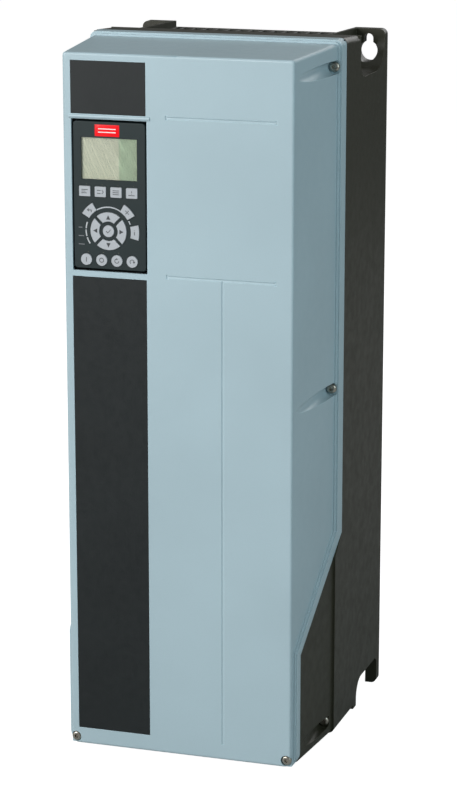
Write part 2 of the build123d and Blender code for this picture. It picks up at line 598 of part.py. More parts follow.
CHOKE_X = 48.0
CHOKE_Z = (492.0, 572.0)
with BuildPart() as dc_chokes:
    for x in (-CHOKE_X, CHOKE_X):
        middle = sum(CHOKE_Z) / 2
        block((x - 36, x + 36), (SINK_FACE - 42, SINK_FACE), CHOKE_Z)
        block((x - 24, x + 24), (SINK_FACE - 54, SINK_FACE - 42), (middle - 26, middle + 26))
    windings = dc_chokes.edges().filter_by(Axis.Y).group_by(Axis.Y)[0]
    fillet(windings, 6)
dc_chokes.part.label = "dc_chokes"
export_step(dc_chokes.part, "parts/dc_chokes.step")

TERMINAL_Z = (118.0, 150.0)
TERMINAL_Y = (SINK_FACE - 52.0, SINK_FACE)
BAR_X = (24.0, 52.0, 80.0)
BAR_HALF = 6.0
BAR_Y = (CARD_FRONT - 3.0, CARD_FRONT)
with BuildPart() as busbars:
    for x in BAR_X:
        for side in (-1, 1):
            block((side * x - BAR_HALF, side * x + BAR_HALF), BAR_Y, (TERMINAL_Z[1], CARD_Z[0] + 13))
busbars.part.label = "busbars"
export_step(busbars.part, "parts/busbars.step")

SENSOR_Z = (190.0, 206.0)
with BuildPart() as current_sensors:
    for x in BAR_X:
        block((x - 2 * BAR_HALF, x + 2 * BAR_HALF), (BAR_Y[0] - 9, SINK_FACE), SENSOR_Z)
        block((x - BAR_HALF - 1, x + BAR_HALF + 1), (BAR_Y[0] - 1, BAR_Y[1] + 1), SENSOR_Z, Mode.SUBTRACT)
current_sensors.part.label = "current_sensors"
export_step(current_sensors.part, "parts/current_sensors.step")

FILTER_BACK = SINK_FACE - 8.0
FILTER_FRONT = FILTER_BACK - CARD_THICK
FILTER_X = (-94.0, -8.0)
FILTER_Z = (168.0, 242.0)
FILTER_CHOKE = (-66.0, 206.0)
FILTER_CHOKE_R = (8.0, 16.0)
with BuildPart() as filter_card:
    block(FILTER_X, (FILTER_FRONT, FILTER_BACK), FILTER_Z)
    for x in (FILTER_X[0] + 4, FILTER_X[1] - 4):
        for z in (FILTER_Z[0] + 4, FILTER_Z[1] - 4):
            peg(x, z, 2.5, (FILTER_BACK, SINK_FACE))
    peg(*FILTER_CHOKE, FILTER_CHOKE_R[1], (FILTER_FRONT - 12, FILTER_FRONT))
    peg(*FILTER_CHOKE, FILTER_CHOKE_R[0], (FILTER_FRONT - 12, FILTER_FRONT), Mode.SUBTRACT)
    # three film capacitors
    for z in (180, 200, 220):
        block((-42, -18), (FILTER_FRONT - 13, FILTER_FRONT), (z, z + 13))
filter_card.part.label = "filter_card"
export_step(filter_card.part, "parts/filter_card.step")


TERMINAL_X = (12.0, 98.0)


def terminal_block(side):
    """Four clamps in a row: cables enter from below, clamp screws face forward."""
    low, high = sorted(side * x for x in TERMINAL_X)
    block((low, high), TERMINAL_Y, TERMINAL_Z)
    pitch = (high - low) / 4
    for way in range(4):
        x = low + pitch * (way + 0.5)
        post(x, TERMINAL_Y[0] + 16, 7.0, (TERMINAL_Z[0], TERMINAL_Z[1] - 6), Mode.SUBTRACT)
        peg(x, TERMINAL_Z[1] - 12, 4.0, (TERMINAL_Y[0], TERMINAL_Y[0] + 14), Mode.SUBTRACT)


with BuildPart() as mains_terminals:
    terminal_block(-1)
mains_terminals.part.label = "mains_terminals"
export_step(mains_terminals.part, "parts/mains_terminals.step")

with BuildPart() as motor_terminals:
    terminal_block(1)
motor_terminals.part.label = "motor_terminals"
export_step(motor_terminals.part, "parts/motor_terminals.step")

SHIELD_HALF = HALF_WIDTH - 17.0
SHIELD_Y = (-176.0, -174.0)
SHIELD_Z = (104.0, 212.0)
with BuildPart() as touch_shield:
    block((-SHIELD_HALF, SHIELD_HALF), SHIELD_Y, SHIELD_Z)
    for side in (-1, 1):
        block((side * (SHIELD_HALF - 3), side * SHIELD_HALF), (SHIELD_Y[1], PARTITION_FACE),
              (SHIELD_Z[1] - 16, SHIELD_Z[1]))
touch_shield.part.label = "touch_shield"
export_step(touch_shield.part, "parts/touch_shield.step")

# ---------------------------------------------------------------- control electronics
CASSETTE_HALF = HALF_WIDTH - 17.0
CASSETTE_Y = (FRONT + 38.0, FRONT + 60.0)
CASSETTE_Z = (290.0, EAR_TOP - 50.0)
CASSETTE_WALL = 2.5
CONTROL_CARD_Y = CASSETTE_Y[1] - CASSETTE_WALL - 8.0
with BuildPart() as control_cassette:
    block((-CASSETTE_HALF, CASSETTE_HALF), CASSETTE_Y, CASSETTE_Z)
    tray_half = CASSETTE_HALF - CASSETTE_WALL
    block((-tray_half, tray_half), (CASSETTE_Y[0], CASSETTE_Y[1] - CASSETTE_WALL),
          (CASSETTE_Z[0] + CASSETTE_WALL, CASSETTE_Z[1] - CASSETTE_WALL), Mode.SUBTRACT)
    for x in (-CASSETTE_HALF + 12, CASSETTE_HALF - 12):
        for z in (CASSETTE_Z[0] + 14, CASSETTE_Z[1] - 14):
            peg(x, z, 3.5, (CONTROL_CARD_Y, CASSETTE_Y[1]))
    for side in (-1, 1):
        for z in CASSETTE_Z:
            foot = (z, z + 10) if z == CASSETTE_Z[0] else (z - 10, z)
            block((side * (CASSETTE_HALF - 8), side * CASSETTE_HALF), (CASSETTE_Y[1], PARTITION_FACE), foot)
control_cassette.part.label = "control_cassette"
export_step(control_cassette.part, "parts/control_cassette.step")

CARD_INSET = 6.0
# (x, z, side) of the square chips
CONTROL_CHIPS = ((20.0, 520.0, 24.0), (-30.0, 420.0, 18.0), (40.0, 400.0, 14.0), (60.0, 470.0, 20.0))
with BuildPart() as control_card:
    card_front = CONTROL_CARD_Y - CARD_THICK
    card_half = CASSETTE_HALF - CARD_INSET
    block((-card_half, card_half), (card_front, CONTROL_CARD_Y),
          (CASSETTE_Z[0] + CARD_INSET, CASSETTE_Z[1] - CARD_INSET))
    for x, z, size in CONTROL_CHIPS:
        block((x - size / 2, x + size / 2), (card_front - 2, card_front), (z - size / 2, z + size / 2))
control_card.part.label = "control_card"
export_step(control_card.part, "parts/control_card.step")

STRIP_LENGTH = 50.0
STRIP_WAYS = 8
with BuildPart() as control_terminals:
    for x in (-70.0, -10.0, 50.0):
        block((x, x + STRIP_LENGTH), (card_front - 9, card_front), (CASSETTE_Z[0] + 8, CASSETTE_Z[0] + 22))
        for way in range(STRIP_WAYS):
            way_x = x + STRIP_LENGTH / STRIP_WAYS * (way + 0.5)
            peg(way_x, CASSETTE_Z[0] + 15, 2.0, (card_front - 9, card_front - 3), Mode.SUBTRACT)
control_terminals.part.label = "control_terminals"
export_step(control_terminals.part, "parts/control_terminals.step")

INNER_FAN = 60.0
INNER_FAN_X = 60.0
INNER_FAN_Y = -166.0
INNER_FAN_Z = (EAR_TOP - 42.0, EAR_TOP - 22.0)
INNER_BORE_R = 27.0
INNER_HUB_R = 11.0
with BuildPart() as inner_fan_frame:
    with BuildSketch(Plane.XY.offset(INNER_FAN_Z[0])):
        with Locations((INNER_FAN_X, INNER_FAN_Y)):
            RectangleRounded(INNER_FAN, INNER_FAN, HOUSING_WALL)
            Circle(INNER_BORE_R, mode=Mode.SUBTRACT)
    extrude(amount=INNER_FAN_Z[1] - INNER_FAN_Z[0])
    with BuildSketch(Plane.XY.offset(INNER_FAN_Z[0])):
        with Locations((INNER_FAN_X, INNER_FAN_Y)):
            Circle(INNER_HUB_R)
            with PolarLocations(INNER_BORE_R / 2, 3, start_angle=30):
                Rectangle(INNER_BORE_R + 2, FAN_ARM)
    extrude(amount=FAN_ARM)
    post(INNER_FAN_X, INNER_FAN_Y, INNER_HUB_R / 3, (INNER_FAN_Z[0], INNER_FAN_Z[1] - FAN_ARM - 2))
    block((INNER_FAN_X - INNER_FAN / 2, INNER_FAN_X + INNER_FAN / 2),
          (INNER_FAN_Y + INNER_FAN / 2 - 1, PARTITION_FACE), (INNER_FAN_Z[0], INNER_FAN_Z[0] + 2.5))
inner_fan_frame.part.label = "inner_fan_frame"
export_step(inner_fan_frame.part, "parts/inner_fan_frame.step")

with BuildPart() as inner_rotor:
    inner_base = INNER_FAN_Z[0] + FAN_ARM + ROTOR_GAP
    inner_height = INNER_FAN_Z[1] - INNER_FAN_Z[0] - FAN_ARM - 2 * ROTOR_GAP
    fan_rotor(INNER_FAN_X, INNER_FAN_Y, inner_base, inner_height, INNER_HUB_R, INNER_BORE_R - ROTOR_GAP,
              INNER_HUB_R / 3 + SPINDLE_GAP)
inner_rotor.part.label = "inner_rotor"
export_step(inner_rotor.part, "parts/inner_rotor.step")

# ---------------------------------------------------------------- front cover
COVER_INSET = 2 * RIM_STEP
COVER_LIFT = 0.8
COVER_CORNER_R = 10.0
COVER_TOP_R = 3.0
COVER_EDGE_R = 2.2
with BuildPart() as cover_shell:
    case_taper(COVER_INSET, FRONT, RIM_BACK, lift=COVER_LIFT)
    fillet(draft_edges(cover_shell)[0:2], COVER_CORNER_R - COVER_INSET)
    fillet(draft_edges(cover_shell)[-2:], COVER_TOP_R)
    fillet(cover_shell.faces().sort_by(Axis.Y)[0].edges(), COVER_EDGE_R)
    ahead_of_break(0, Mode.INTERSECT)

with BuildPart() as cover_rim:
    case_taper(0, FRONT, RIM_BACK)
    fillet(draft_edges(cover_rim)[0:2], COVER_CORNER_R)
    fillet(draft_edges(cover_rim)[-2:], COVER_TOP_R + COVER_INSET)
    ahead_of_break(0, Mode.INTERSECT)
    behind_break(RIM_LENGTH, Mode.INTERSECT)

with BuildPart() as cover_step:
    case_taper(RIM_STEP, FRONT, RIM_BACK, lift=COVER_LIFT / 2)
    fillet(draft_edges(cover_step)[0:2], COVER_CORNER_R - RIM_STEP)
    fillet(draft_edges(cover_step)[-2:], COVER_TOP_R + RIM_STEP)
    ahead_of_break(0, Mode.INTERSECT)
    behind_break(RIM_LENGTH + 2 * RIM_STEP, Mode.INTERSECT)

with BuildPart() as cover_cavity:
    case_taper(COVER_INSET + COVER_WALL, FRONT + COVER_WALL, RIM_BACK)
    ahead_of_break(RIM_LENGTH, Mode.INTERSECT)
    case_taper(LAND, FRONT + COVER_WALL, RIM_BACK + LAND)

with BuildPart() as cover_bosses:
    for side in (-1, 1):
        for z in SIDE_SCREW_Z:
            scoop_y = (RIM_BACK - RIM_LENGTH - SCOOP_LENGTH, RIM_BACK)
            peg(side * SIDE_SCREW_X, z, SCOOP_R + COVER_WALL, scoop_y)
        corner_y = (FRONT + COVER_WALL, BREAK_LOW_Y)
        peg(side * CORNER_SCREW_X, CORNER_SCREW_Z, SCREW_HEAD_R + COVER_WALL, corner_y)
    case_taper(COVER_INSET, FRONT + COVER_WALL, RIM_BACK, Mode.INTERSECT, lift=COVER_LIFT)
    ahead_of_break(0, Mode.INTERSECT)

# foam gasket in the back of the rim
GASKET_INSET = (1.2, 4.6)
GASKET_DEPTH = 2.5
with BuildPart() as cover_gasket:
    case_taper(GASKET_INSET[0], FRONT, RIM_BACK)
    case_taper(GASKET_INSET[1], 2 * FRONT, RIM_BACK + LAND, Mode.SUBTRACT)
    ahead_of_break(0, Mode.INTERSECT)
    behind_break(GASKET_DEPTH, Mode.INTERSECT)
    for side in (-1, 1):
        block((side * (CORNER_SCREW_X - SCREW_BOSS_R - 1), side * HALF_WIDTH), (FRONT, BREAK_LOW_Y + 1),
              (0, CORNER_SCREW_Z + SCREW_BOSS_R + 1), Mode.SUBTRACT)
cover_gasket.part.label = "cover_gasket"
export_step(cover_gasket.part, "parts/cover_gasket.step")

GROOVE_R = 1.4
GROOVE_X = (PANEL_X[1] + 20.0, CASE_HALF_FRONT - 19.2)
GROOVE_Z = (PANEL_Z[0] - 3.4, PANEL_Z[1] + 6.0)
GROOVE_MID_X = PANEL_X[1] + 71.6
GROOVE_FOOT_Z = 17.0
GROOVE_TICK = 4.0
RIDGE_R = 2.0
RIDGE_SUNK = 0.8
RIDGE_X = (PANEL_X[0] - 3.2, PANEL_X[1] + 4.3)
OPENING_X = (PANEL_X[0] - PANEL_GAP_X, PANEL_X[1] + PANEL_GAP_X)
OPENING_Z = (PANEL_Z[0] - PANEL_GAP_Z, PANEL_Z[1] + PANEL_GAP_Z)
COUNTERBORE = 3.6
with BuildPart() as front_cover:
    add(cover_shell.part)
    add(cover_rim.part)
    add(cover_step.part)
    add(cover_cavity.part, mode=Mode.SUBTRACT)
    add(cover_bosses.part)
    add(cover_gasket.part, mode=Mode.SUBTRACT)
    # seats and holes of the side screws, each with a driver scoop that fades out forward
    for side in (-1, 1):
        for z in SIDE_SCREW_Z:
            peg(side * SIDE_SCREW_X, z, SCREW_HOLE_R, (RIM_BACK - RIM_LENGTH, RIM_BACK), Mode.SUBTRACT)
            driver_scoop(side, z, RIM_BACK - RIM_LENGTH)
        counterbore_y = (FRONT, FRONT + COUNTERBORE)
        peg(side * CORNER_SCREW_X, CORNER_SCREW_Z, SCREW_HEAD_R + SLIDE_GAP, counterbore_y, Mode.SUBTRACT)
        peg(side * CORNER_SCREW_X, CORNER_SCREW_Z, SCREW_HOLE_R, (FRONT, BREAK_LOW_Y), Mode.SUBTRACT)
    # rounded bar above the operator panel
    ridge_centre = (sum(RIDGE_X) / 2, FRONT + RIDGE_SUNK, OPENING_Z[1] + RIDGE_R + 0.1)
    with Locations(Location(ridge_centre, (0, 90, 0))):
        Cylinder(RIDGE_R, RIDGE_X[1] - RIDGE_X[0])
    # opening for the operator panel and recesses for the two dark inlays
    block(OPENING_X, (2 * FRONT, FRONT + 2 * COVER_WALL), OPENING_Z, Mode.SUBTRACT)
    for span in (UPPER_INLAY_Z, LOWER_INLAY_Z):
        block(INLAY_X, (FRONT - 2 * RIDGE_R, FRONT + INLAY_RECESS), span, Mode.SUBTRACT)
    # shallow grooves in the face
    groove_y = FRONT - GROOVE_R / 2
    for z in GROOVE_Z:
        with Locations(Location((sum(GROOVE_X) / 2, groove_y, z), (0, 90, 0))):
            Cylinder(GROOVE_R, GROOVE_X[1] - GROOVE_X[0], mode=Mode.SUBTRACT)
        for x in GROOVE_X:
            with Locations((x, groove_y, z)):
                Cylinder(GROOVE_R, GROOVE_TICK, mode=Mode.SUBTRACT)
    with Locations((GROOVE_MID_X, groove_y, (GROOVE_FOOT_Z + GROOVE_Z[0]) / 2)):
        Cylinder(GROOVE_R, GROOVE_Z[0] - GROOVE_FOOT_Z, mode=Mode.SUBTRACT)
front_cover.part.label = "front_cover"
export_step(front_cover.part, "parts/front_cover.step")

with BuildPart() as cover_screws:
    for side in (-1, 1):
        for z in SIDE_SCREW_Z:
            screw(side * SIDE_SCREW_X, z, RIM_BACK - RIM_LENGTH, RIM_LENGTH + SCREW_DEPTH - 2)
        corner_grip = BREAK_LOW_Y - FRONT - COUNTERBORE
        screw(side * CORNER_SCREW_X, CORNER_SCREW_Z, FRONT + COUNTERBORE, corner_grip + SCREW_DEPTH - 2)
cover_screws.part.label = "cover_screws"
export_step(cover_screws.part, "parts/cover_screws.step")

for name, span in (("upper_inlay", UPPER_INLAY_Z), ("lower_inlay", LOWER_INLAY_Z)):
    with BuildPart() as inlay:
        inlay_y = (FRONT + INLAY_RECESS - INLAY_THICK, FRONT + INLAY_RECESS)
        block((INLAY_X[0] + INLAY_GAP, INLAY_X[1] - INLAY_GAP), inlay_y,
              (span[0] + INLAY_GAP, span[1] - INLAY_GAP))
    inlay.part.label = name
    export_step(inlay.part, "parts/" + name + ".step")

CRADLE_WALL = 3.0
CRADLE_Y = (FRONT + COVER_WALL, FRONT + PANEL_DEPTH + 6.0)
PLUG = (PANEL_X[0] + 33.8, PANEL_Z[0] + 62.3)
PLUG_HALF = (11.5, 5.5)


def plug_opening(gap, y, mode=Mode.SUBTRACT):
    """The panel plug's outline with a gap all round, through the span y."""
    block((PLUG[0] - PLUG_HALF[0] - gap, PLUG[0] + PLUG_HALF[0] + gap), y,
          (PLUG[1] - PLUG_HALF[1] - gap, PLUG[1] + PLUG_HALF[1] + gap), mode)


with BuildPart() as panel_cradle:
    block((OPENING_X[0] - CRADLE_WALL, OPENING_X[1] + CRADLE_WALL), CRADLE_Y,
          (OPENING_Z[0] - CRADLE_WALL, OPENING_Z[1] + CRADLE_WALL))
    block(OPENING_X, (CRADLE_Y[0], CRADLE_Y[1] - CRADLE_WALL), OPENING_Z, Mode.SUBTRACT)
    # window for the plug at the back of the panel
    plug_opening(4.5, CRADLE_Y)
panel_cradle.part.label = "panel_cradle"
export_step(panel_cradle.part, "parts/panel_cradle.step")

# ---------------------------------------------------------------- operator panel
SHELL_SPLIT = PANEL_FACE + 10.0
PANEL_BACK = PANEL_FACE + PANEL_DEPTH
WINDOW_X = (PANEL_X[0] + 7.3, PANEL_X[1] - 8.0)
WINDOW_Z = (PANEL_Z[1] - 51.7, PANEL_Z[1] - 14.4)
WINDOW_SUNK = 0.5
WINDOW_THICK = 1.5
BADGE_X = (PANEL_X[0] + 20.6, PANEL_X[0] + 43.7)
BADGE_Z = (PANEL_Z[1] - 13.0, PANEL_Z[1] - 2.5)
BOARD_Y = (PANEL_FACE + 7.6, PANEL_FACE + 9.2)
MENU_X = [PANEL_X[0] + 10.7 + 14.8 * place for place in range(4)]
MENU_Z = PANEL_Z[1] - 62.5
MENU_SIZE = (10.6, 9.2)
ROUND_X = [PANEL_X[0] + 11.6 + 14.47 * place for place in range(4)]
ROUND_Z = PANEL_Z[0] + 8.2
ROUND_R = 5.2
PAD = (PANEL_X[0] + 32.8, PANEL_Z[0] + 34.7)
OK_R = 5.3
ARROW_R = (8.8, 17.0)
ARROW_GAP = 1.4
OUTER_R = (21.2, 29.0)
LAMP_R = (20.8, 22.0)
KEY_CORNER_R = 0.8


def ring_piece(y, radii, middle, half_angle, shift, grow):
    """A ring segment about the pad's centre, pointing at the angle middle, on the plane at depth y."""
    reach = 3 * radii[1]
    back = shift - grow / sin(radians(half_angle))
    apex = (PAD[0] + back * cos(radians(middle)), PAD[1] + back * sin(radians(middle)))
    tips = []
    for angle in (middle - half_angle, middle + half_angle):
        tips.append((apex[0] + reach * cos(radians(angle)), apex[1] + reach * sin(radians(angle))))
    with BuildSketch(Plane.XZ.offset(-y)) as piece:
        with Locations(PAD):
            Circle(radii[1] + grow)
            Circle(radii[0] - grow, mode=Mode.SUBTRACT)
        with BuildLine():
            Polyline(apex, tips[0], tips[1], close=True)
        make_face(mode=Mode.INTERSECT)
    return piece.sketch


def menu_key(x):
    """An oblong key of the upper row."""
    def outline(y, grow):
        with BuildSketch(Plane.XZ.offset(-y)) as piece:
            with Locations((x, MENU_Z)):
                RectangleRounded(MENU_SIZE[0] + 2 * grow, MENU_SIZE[1] + 2 * grow, KEY_CORNER_R + grow)
        return piece.sketch
    return outline


def round_key(x, z, radius):
    """A round key."""
    def outline(y, grow):
        with BuildSketch(Plane.XZ.offset(-y)) as piece:
            with Locations((x, z)):
                Circle(radius + grow)
        return piece.sketch
    return outline


def ring_key(radii, middle, half_angle, shift=0.0):
    """A key shaped as a ring segment about the pad."""
    def outline(y, grow):
        return ring_piece(y, radii, middle, half_angle, shift, grow)
    return outline


KEYS = {
    "key_status": menu_key(MENU_X[0]),
    "key_quick_menu": menu_key(MENU_X[1]),
    "key_main_menu": menu_key(MENU_X[2]),
    "key_alarm_log": menu_key(MENU_X[3]),
    "key_ok": round_key(PAD[0], PAD[1], OK_R),
    "key_right": ring_key(ARROW_R, 0, 45, ARROW_GAP * 2**0.5),
    "key_up": ring_key(ARROW_R, 90, 45, ARROW_GAP * 2**0.5),
    "key_left": ring_key(ARROW_R, 180, 45, ARROW_GAP * 2**0.5),
    "key_down": ring_key(ARROW_R, 270, 45, ARROW_GAP * 2**0.5),
    "key_back": ring_key(OUTER_R, 135, 13.7),
    "key_cancel": ring_key(OUTER_R, 45, 13.7),
    "key_info": ring_key(OUTER_R, 0, 13.7),
    "key_hand_on": round_key(ROUND_X[0], ROUND_Z, ROUND_R),
    "key_off": round_key(ROUND_X[1], ROUND_Z, ROUND_R),
    "key_auto_on": round_key(ROUND_X[2], ROUND_Z, ROUND_R),
    "key_reset": round_key(ROUND_X[3], ROUND_Z, ROUND_R),
}
LAMPS = [(LAMP_R, 168, 8), (LAMP_R, 187, 8), (LAMP_R, 206, 8)]


def shell_block(front, back, inset, mode=Mode.ADD):
    """The operator panel's outline between two depths, drawn inset."""
    with BuildSketch(Plane.XZ.offset(-front)) as outline:
        with Locations((sum(PANEL_X) / 2, sum(PANEL_Z) / 2)):
            RectangleRounded(PANEL_WIDTH - 2 * inset, PANEL_HEIGHT - 2 * inset, PANEL_CORNER_R - inset)
    extrude(outline.sketch, amount=front - back, mode=mode)


with BuildPart() as panel_front_shell:
    shell_block(PANEL_FACE, SHELL_SPLIT, 0)
    fillet(panel_front_shell.faces().sort_by(Axis.Y)[0].edges(), 0.6)
    shell_block(PANEL_FACE + PANEL_SKIN, SHELL_SPLIT, PANEL_SKIN, Mode.SUBTRACT)
    block(WINDOW_X, (FRONT, PANEL_FACE + PANEL_SKIN), WINDOW_Z, Mode.SUBTRACT)
    block(BADGE_X, (FRONT, PANEL_FACE + 0.4), BADGE_Z, Mode.SUBTRACT)
    for outline in KEYS.values():
        extrude(outline(PANEL_FACE, KEY_GAP), amount=-PANEL_SKIN, mode=Mode.SUBTRACT)
    for radii, middle, half_angle in LAMPS:
        lamp_hole = ring_piece(PANEL_FACE, radii, middle, half_angle, 0, 0)
        extrude(lamp_hole, amount=-PANEL_SKIN, mode=Mode.SUBTRACT)
panel_front_shell.part.label = "panel_front_shell"
export_step(panel_front_shell.part, "parts/panel_front_shell.step")

with BuildPart() as panel_rear_shell:
    shell_block(SHELL_SPLIT, PANEL_BACK, 0)
    shell_block(SHELL_SPLIT, PANEL_BACK - PANEL_SKIN, PANEL_SKIN, Mode.SUBTRACT)
    fillet(panel_rear_shell.faces().sort_by(Axis.Y)[-1].edges(), 1.5)
    plug_opening(SLIDE_GAP, (PANEL_BACK - PANEL_SKIN, PANEL_BACK))
panel_rear_shell.part.label = "panel_rear_shell"
export_step(panel_rear_shell.part, "parts/panel_rear_shell.step")

with BuildPart() as display_window:
    block(WINDOW_X, (PANEL_FACE + WINDOW_SUNK, PANEL_FACE + PANEL_SKIN), WINDOW_Z)
display_window.part.label = "display_window"
export_step(display_window.part, "parts/display_window.step")

with BuildPart() as display_module:
    block((WINDOW_X[0] - 1.5, WINDOW_X[1] + 1.5), (PANEL_FACE + PANEL_SKIN, BOARD_Y[0]),
          (WINDOW_Z[0] - 2, WINDOW_Z[1] + 2))
display_module.part.label = "display_module"
export_step(display_module.part, "parts/display_module.step")

with BuildPart() as panel_board:
    shell_block(BOARD_Y[0], BOARD_Y[1], PANEL_SKIN)
    # plug at the back
    plug_opening(0, (BOARD_Y[1], PANEL_BACK), Mode.ADD)
panel_board.part.label = "panel_board"
export_step(panel_board.part, "parts/panel_board.step")

with BuildPart() as badge_plate:
    block(BADGE_X, (PANEL_FACE - 0.1, PANEL_FACE + 0.4), BADGE_Z)
badge_plate.part.label = "badge_plate"
export_step(badge_plate.part, "parts/badge_plate.step")

with BuildPart() as status_lamps:
    for radii, middle, half_angle in LAMPS:
        extrude(ring_piece(PANEL_FACE - 0.1, radii, middle, half_angle, 0, 0), amount=-PANEL_SKIN - 0.1)
status_lamps.part.label = "status_lamps"
export_step(status_lamps.part, "parts/status_lamps.step")

for name, outline in KEYS.items():
    with BuildPart() as key:
        cap_front = PANEL_FACE - KEY_PROUD
        flange_front = PANEL_FACE + PANEL_SKIN + SEAT_GAP
        extrude(outline(cap_front, 0), amount=cap_front - flange_front)
        fillet(key.faces().sort_by(Axis.Y)[0].edges(), 0.3)
        extrude(outline(flange_front, KEY_FLANGE), amount=-KEY_FLANGE)
    key.part.label = name
    export_step(key.part, "parts/" + name + ".step")
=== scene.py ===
"""Finishes, small parts and studio for a wall-mounted variable frequency drive, built around its CAD frame.

Everything is in metres in the frame's own axes: +Z up, the wall at Y = 0, the cover facing -Y.
"""

from math import cos, pi, radians, sin

import bmesh
import bpy
from mathutils import Matrix, Vector


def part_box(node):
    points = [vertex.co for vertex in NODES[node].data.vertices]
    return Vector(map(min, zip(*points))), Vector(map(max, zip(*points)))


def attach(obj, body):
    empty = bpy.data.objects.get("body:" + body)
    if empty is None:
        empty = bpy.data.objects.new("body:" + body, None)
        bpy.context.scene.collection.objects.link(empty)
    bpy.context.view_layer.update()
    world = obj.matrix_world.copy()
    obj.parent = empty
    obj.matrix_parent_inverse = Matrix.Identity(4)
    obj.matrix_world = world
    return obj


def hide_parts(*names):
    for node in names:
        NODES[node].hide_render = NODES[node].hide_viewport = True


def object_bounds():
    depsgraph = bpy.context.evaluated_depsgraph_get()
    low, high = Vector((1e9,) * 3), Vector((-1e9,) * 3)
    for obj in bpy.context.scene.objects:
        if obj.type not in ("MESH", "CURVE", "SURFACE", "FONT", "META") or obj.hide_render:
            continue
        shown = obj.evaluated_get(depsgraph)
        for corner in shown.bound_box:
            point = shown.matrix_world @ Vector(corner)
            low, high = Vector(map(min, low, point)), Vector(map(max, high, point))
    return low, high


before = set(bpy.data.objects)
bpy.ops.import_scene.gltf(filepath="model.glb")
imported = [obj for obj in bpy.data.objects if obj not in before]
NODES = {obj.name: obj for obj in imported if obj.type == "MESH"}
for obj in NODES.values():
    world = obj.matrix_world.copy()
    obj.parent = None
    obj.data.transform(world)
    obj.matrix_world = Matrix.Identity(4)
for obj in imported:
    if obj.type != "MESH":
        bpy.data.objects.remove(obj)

bl_info = {
    "name": "Variable Frequency Drive",
    "version": (1, 0, 0),
    "blender": (4, 5, 0),
    "location": "3D View > Sidebar > Drive",
    "description": "Finishes and small parts of a wall-mounted variable frequency drive, and its studio",
    "category": "Object",
}

MM = 0.001
CAD_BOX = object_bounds()
KEYS = sorted(name for name in NODES if name.startswith("key_"))
FORWARD = Vector((0, -1, 0))
UPWARD = Vector((0, 0, 1))
BEVEL_SAMPLES = 4


# ---------------------------------------------------------------- settings
def colour(name, description, default):
    return bpy.props.FloatVectorProperty(
        name=name, description=description, default=default, size=3, min=0.0, max=1.0, subtype="COLOR"
    )


def length(name, description, default):
    return bpy.props.FloatProperty(
        name=name, description=description, default=default, min=0.0, unit="LENGTH", precision=5
    )


class DriveColours(bpy.types.PropertyGroup):
    """Colours of the drive's finishes"""

    cover: colour("Cover paint", "Light powder paint on the front cover", (0.365, 0.480, 0.525))
    housing: colour("Housing paint", "Dark powder paint on the two housings", (0.029, 0.029, 0.018))
    inlay: colour("Inlay film", "Dark film in the cover's two recesses", (0.011, 0.014, 0.0145))
    panel: colour("Panel shell", "Moulded shell of the operator panel", (0.009, 0.019, 0.020))
    keys: colour("Keys", "Soft key caps", (0.400, 0.425, 0.450))
    legend: colour("Key legends", "Marks printed on the keys", (0.030, 0.034, 0.038))
    # Painted reflection: the display's paler main colour holds a reflection painted in; the greener side colour
    # is the face without it.
    display: colour("Display", "Main area of the unlit display", (0.940, 0.960, 0.740))
    display_unreflected: colour("Display side", "Greener column at the right of the display", (0.600, 0.750, 0.520))
    badge: colour("Badge", "Plain label above the display", (0.880, 0.002, 0.008))
    screws: colour("Screws", "Stainless steel of the screws", (0.460, 0.430, 0.370))
    board: colour("Circuit board", "Solder mask of the cards", (0.012, 0.120, 0.045))


class DriveSizes(bpy.types.PropertyGroup):
    """Sizes of the small parts and of the surface grain"""

    peel: length("Paint grain", "Width of one dimple of the paint's orange peel", 1.4 * MM)
    texture: length("Plastic grain", "Width of one grain of the moulded texture", 0.45 * MM)
    # Painted highlight: the brighter band along sharp painted edges is light painted into the colour.
    edge_highlight_width: length("Edge width", "Width of the brighter band along sharp painted edges", 0.7 * MM)
    thread: length("Thread pitch", "Pitch of the cover screws", 0.7 * MM)
    print_height: length("Print height", "How far printed marks stand up", 0.05 * MM)
    pad_ring: length("Pad ring", "Radius of the line printed round the arrow keys", 21.6 * MM)


class DriveStudio(bpy.types.PropertyGroup):
    """Camera, floor and lights"""

    eye: bpy.props.FloatVectorProperty(
        name="Camera", description="Where the camera stands", default=(0.7713, -2.4894, 0.9302),
        subtype="TRANSLATION", unit="LENGTH",
    )
    turn: bpy.props.FloatProperty(
        name="Turn", description="Turn of the camera to the left of straight ahead", default=radians(17.99),
        subtype="ANGLE", unit="ROTATION",
    )
    tilt: bpy.props.FloatProperty(
        name="Tilt", description="Tilt of the camera below the horizon", default=radians(14.03),
        subtype="ANGLE", unit="ROTATION",
    )
    lens: bpy.props.FloatProperty(
        name="Lens", description="Focal length for a 36 mm sensor", default=122.15, min=10.0, unit="CAMERA"
    )
    key_power: bpy.props.FloatProperty(
        name="Key light", description="Power of the large light at the front left", default=73.0, min=0.0,
        unit="POWER",
    )
    fill_power: bpy.props.FloatProperty(
        name="Fill light", description="Power of the light at the right", default=17.0, min=0.0, unit="POWER"
    )
    top_power: bpy.props.FloatProperty(
        name="Top light", description="Power of the light above", default=7.0, min=0.0, unit="POWER"
    )
    back_power: bpy.props.FloatProperty(
        name="Back light", description="Power of the soft light behind", default=13.0, min=0.0, unit="POWER"
    )
    surround: bpy.props.FloatProperty(
        name="Surround", description="Brightness of the white surround as a light", default=0.13, min=0.0
    )


# ---------------------------------------------------------------- material building
def node(tree, kind, inputs, **settings):
    """Adds a shader node, with each input linked where its value is a socket and set where it isn't."""
    made = tree.nodes.new("ShaderNode" + kind)
    for setting, value in settings.items():
        setattr(made, setting, value)
    for socket, value in inputs.items():
        if isinstance(value, bpy.types.NodeSocket):
            tree.links.new(value, made.inputs[socket])
        else:
            made.inputs[socket].default_value = value
    return made


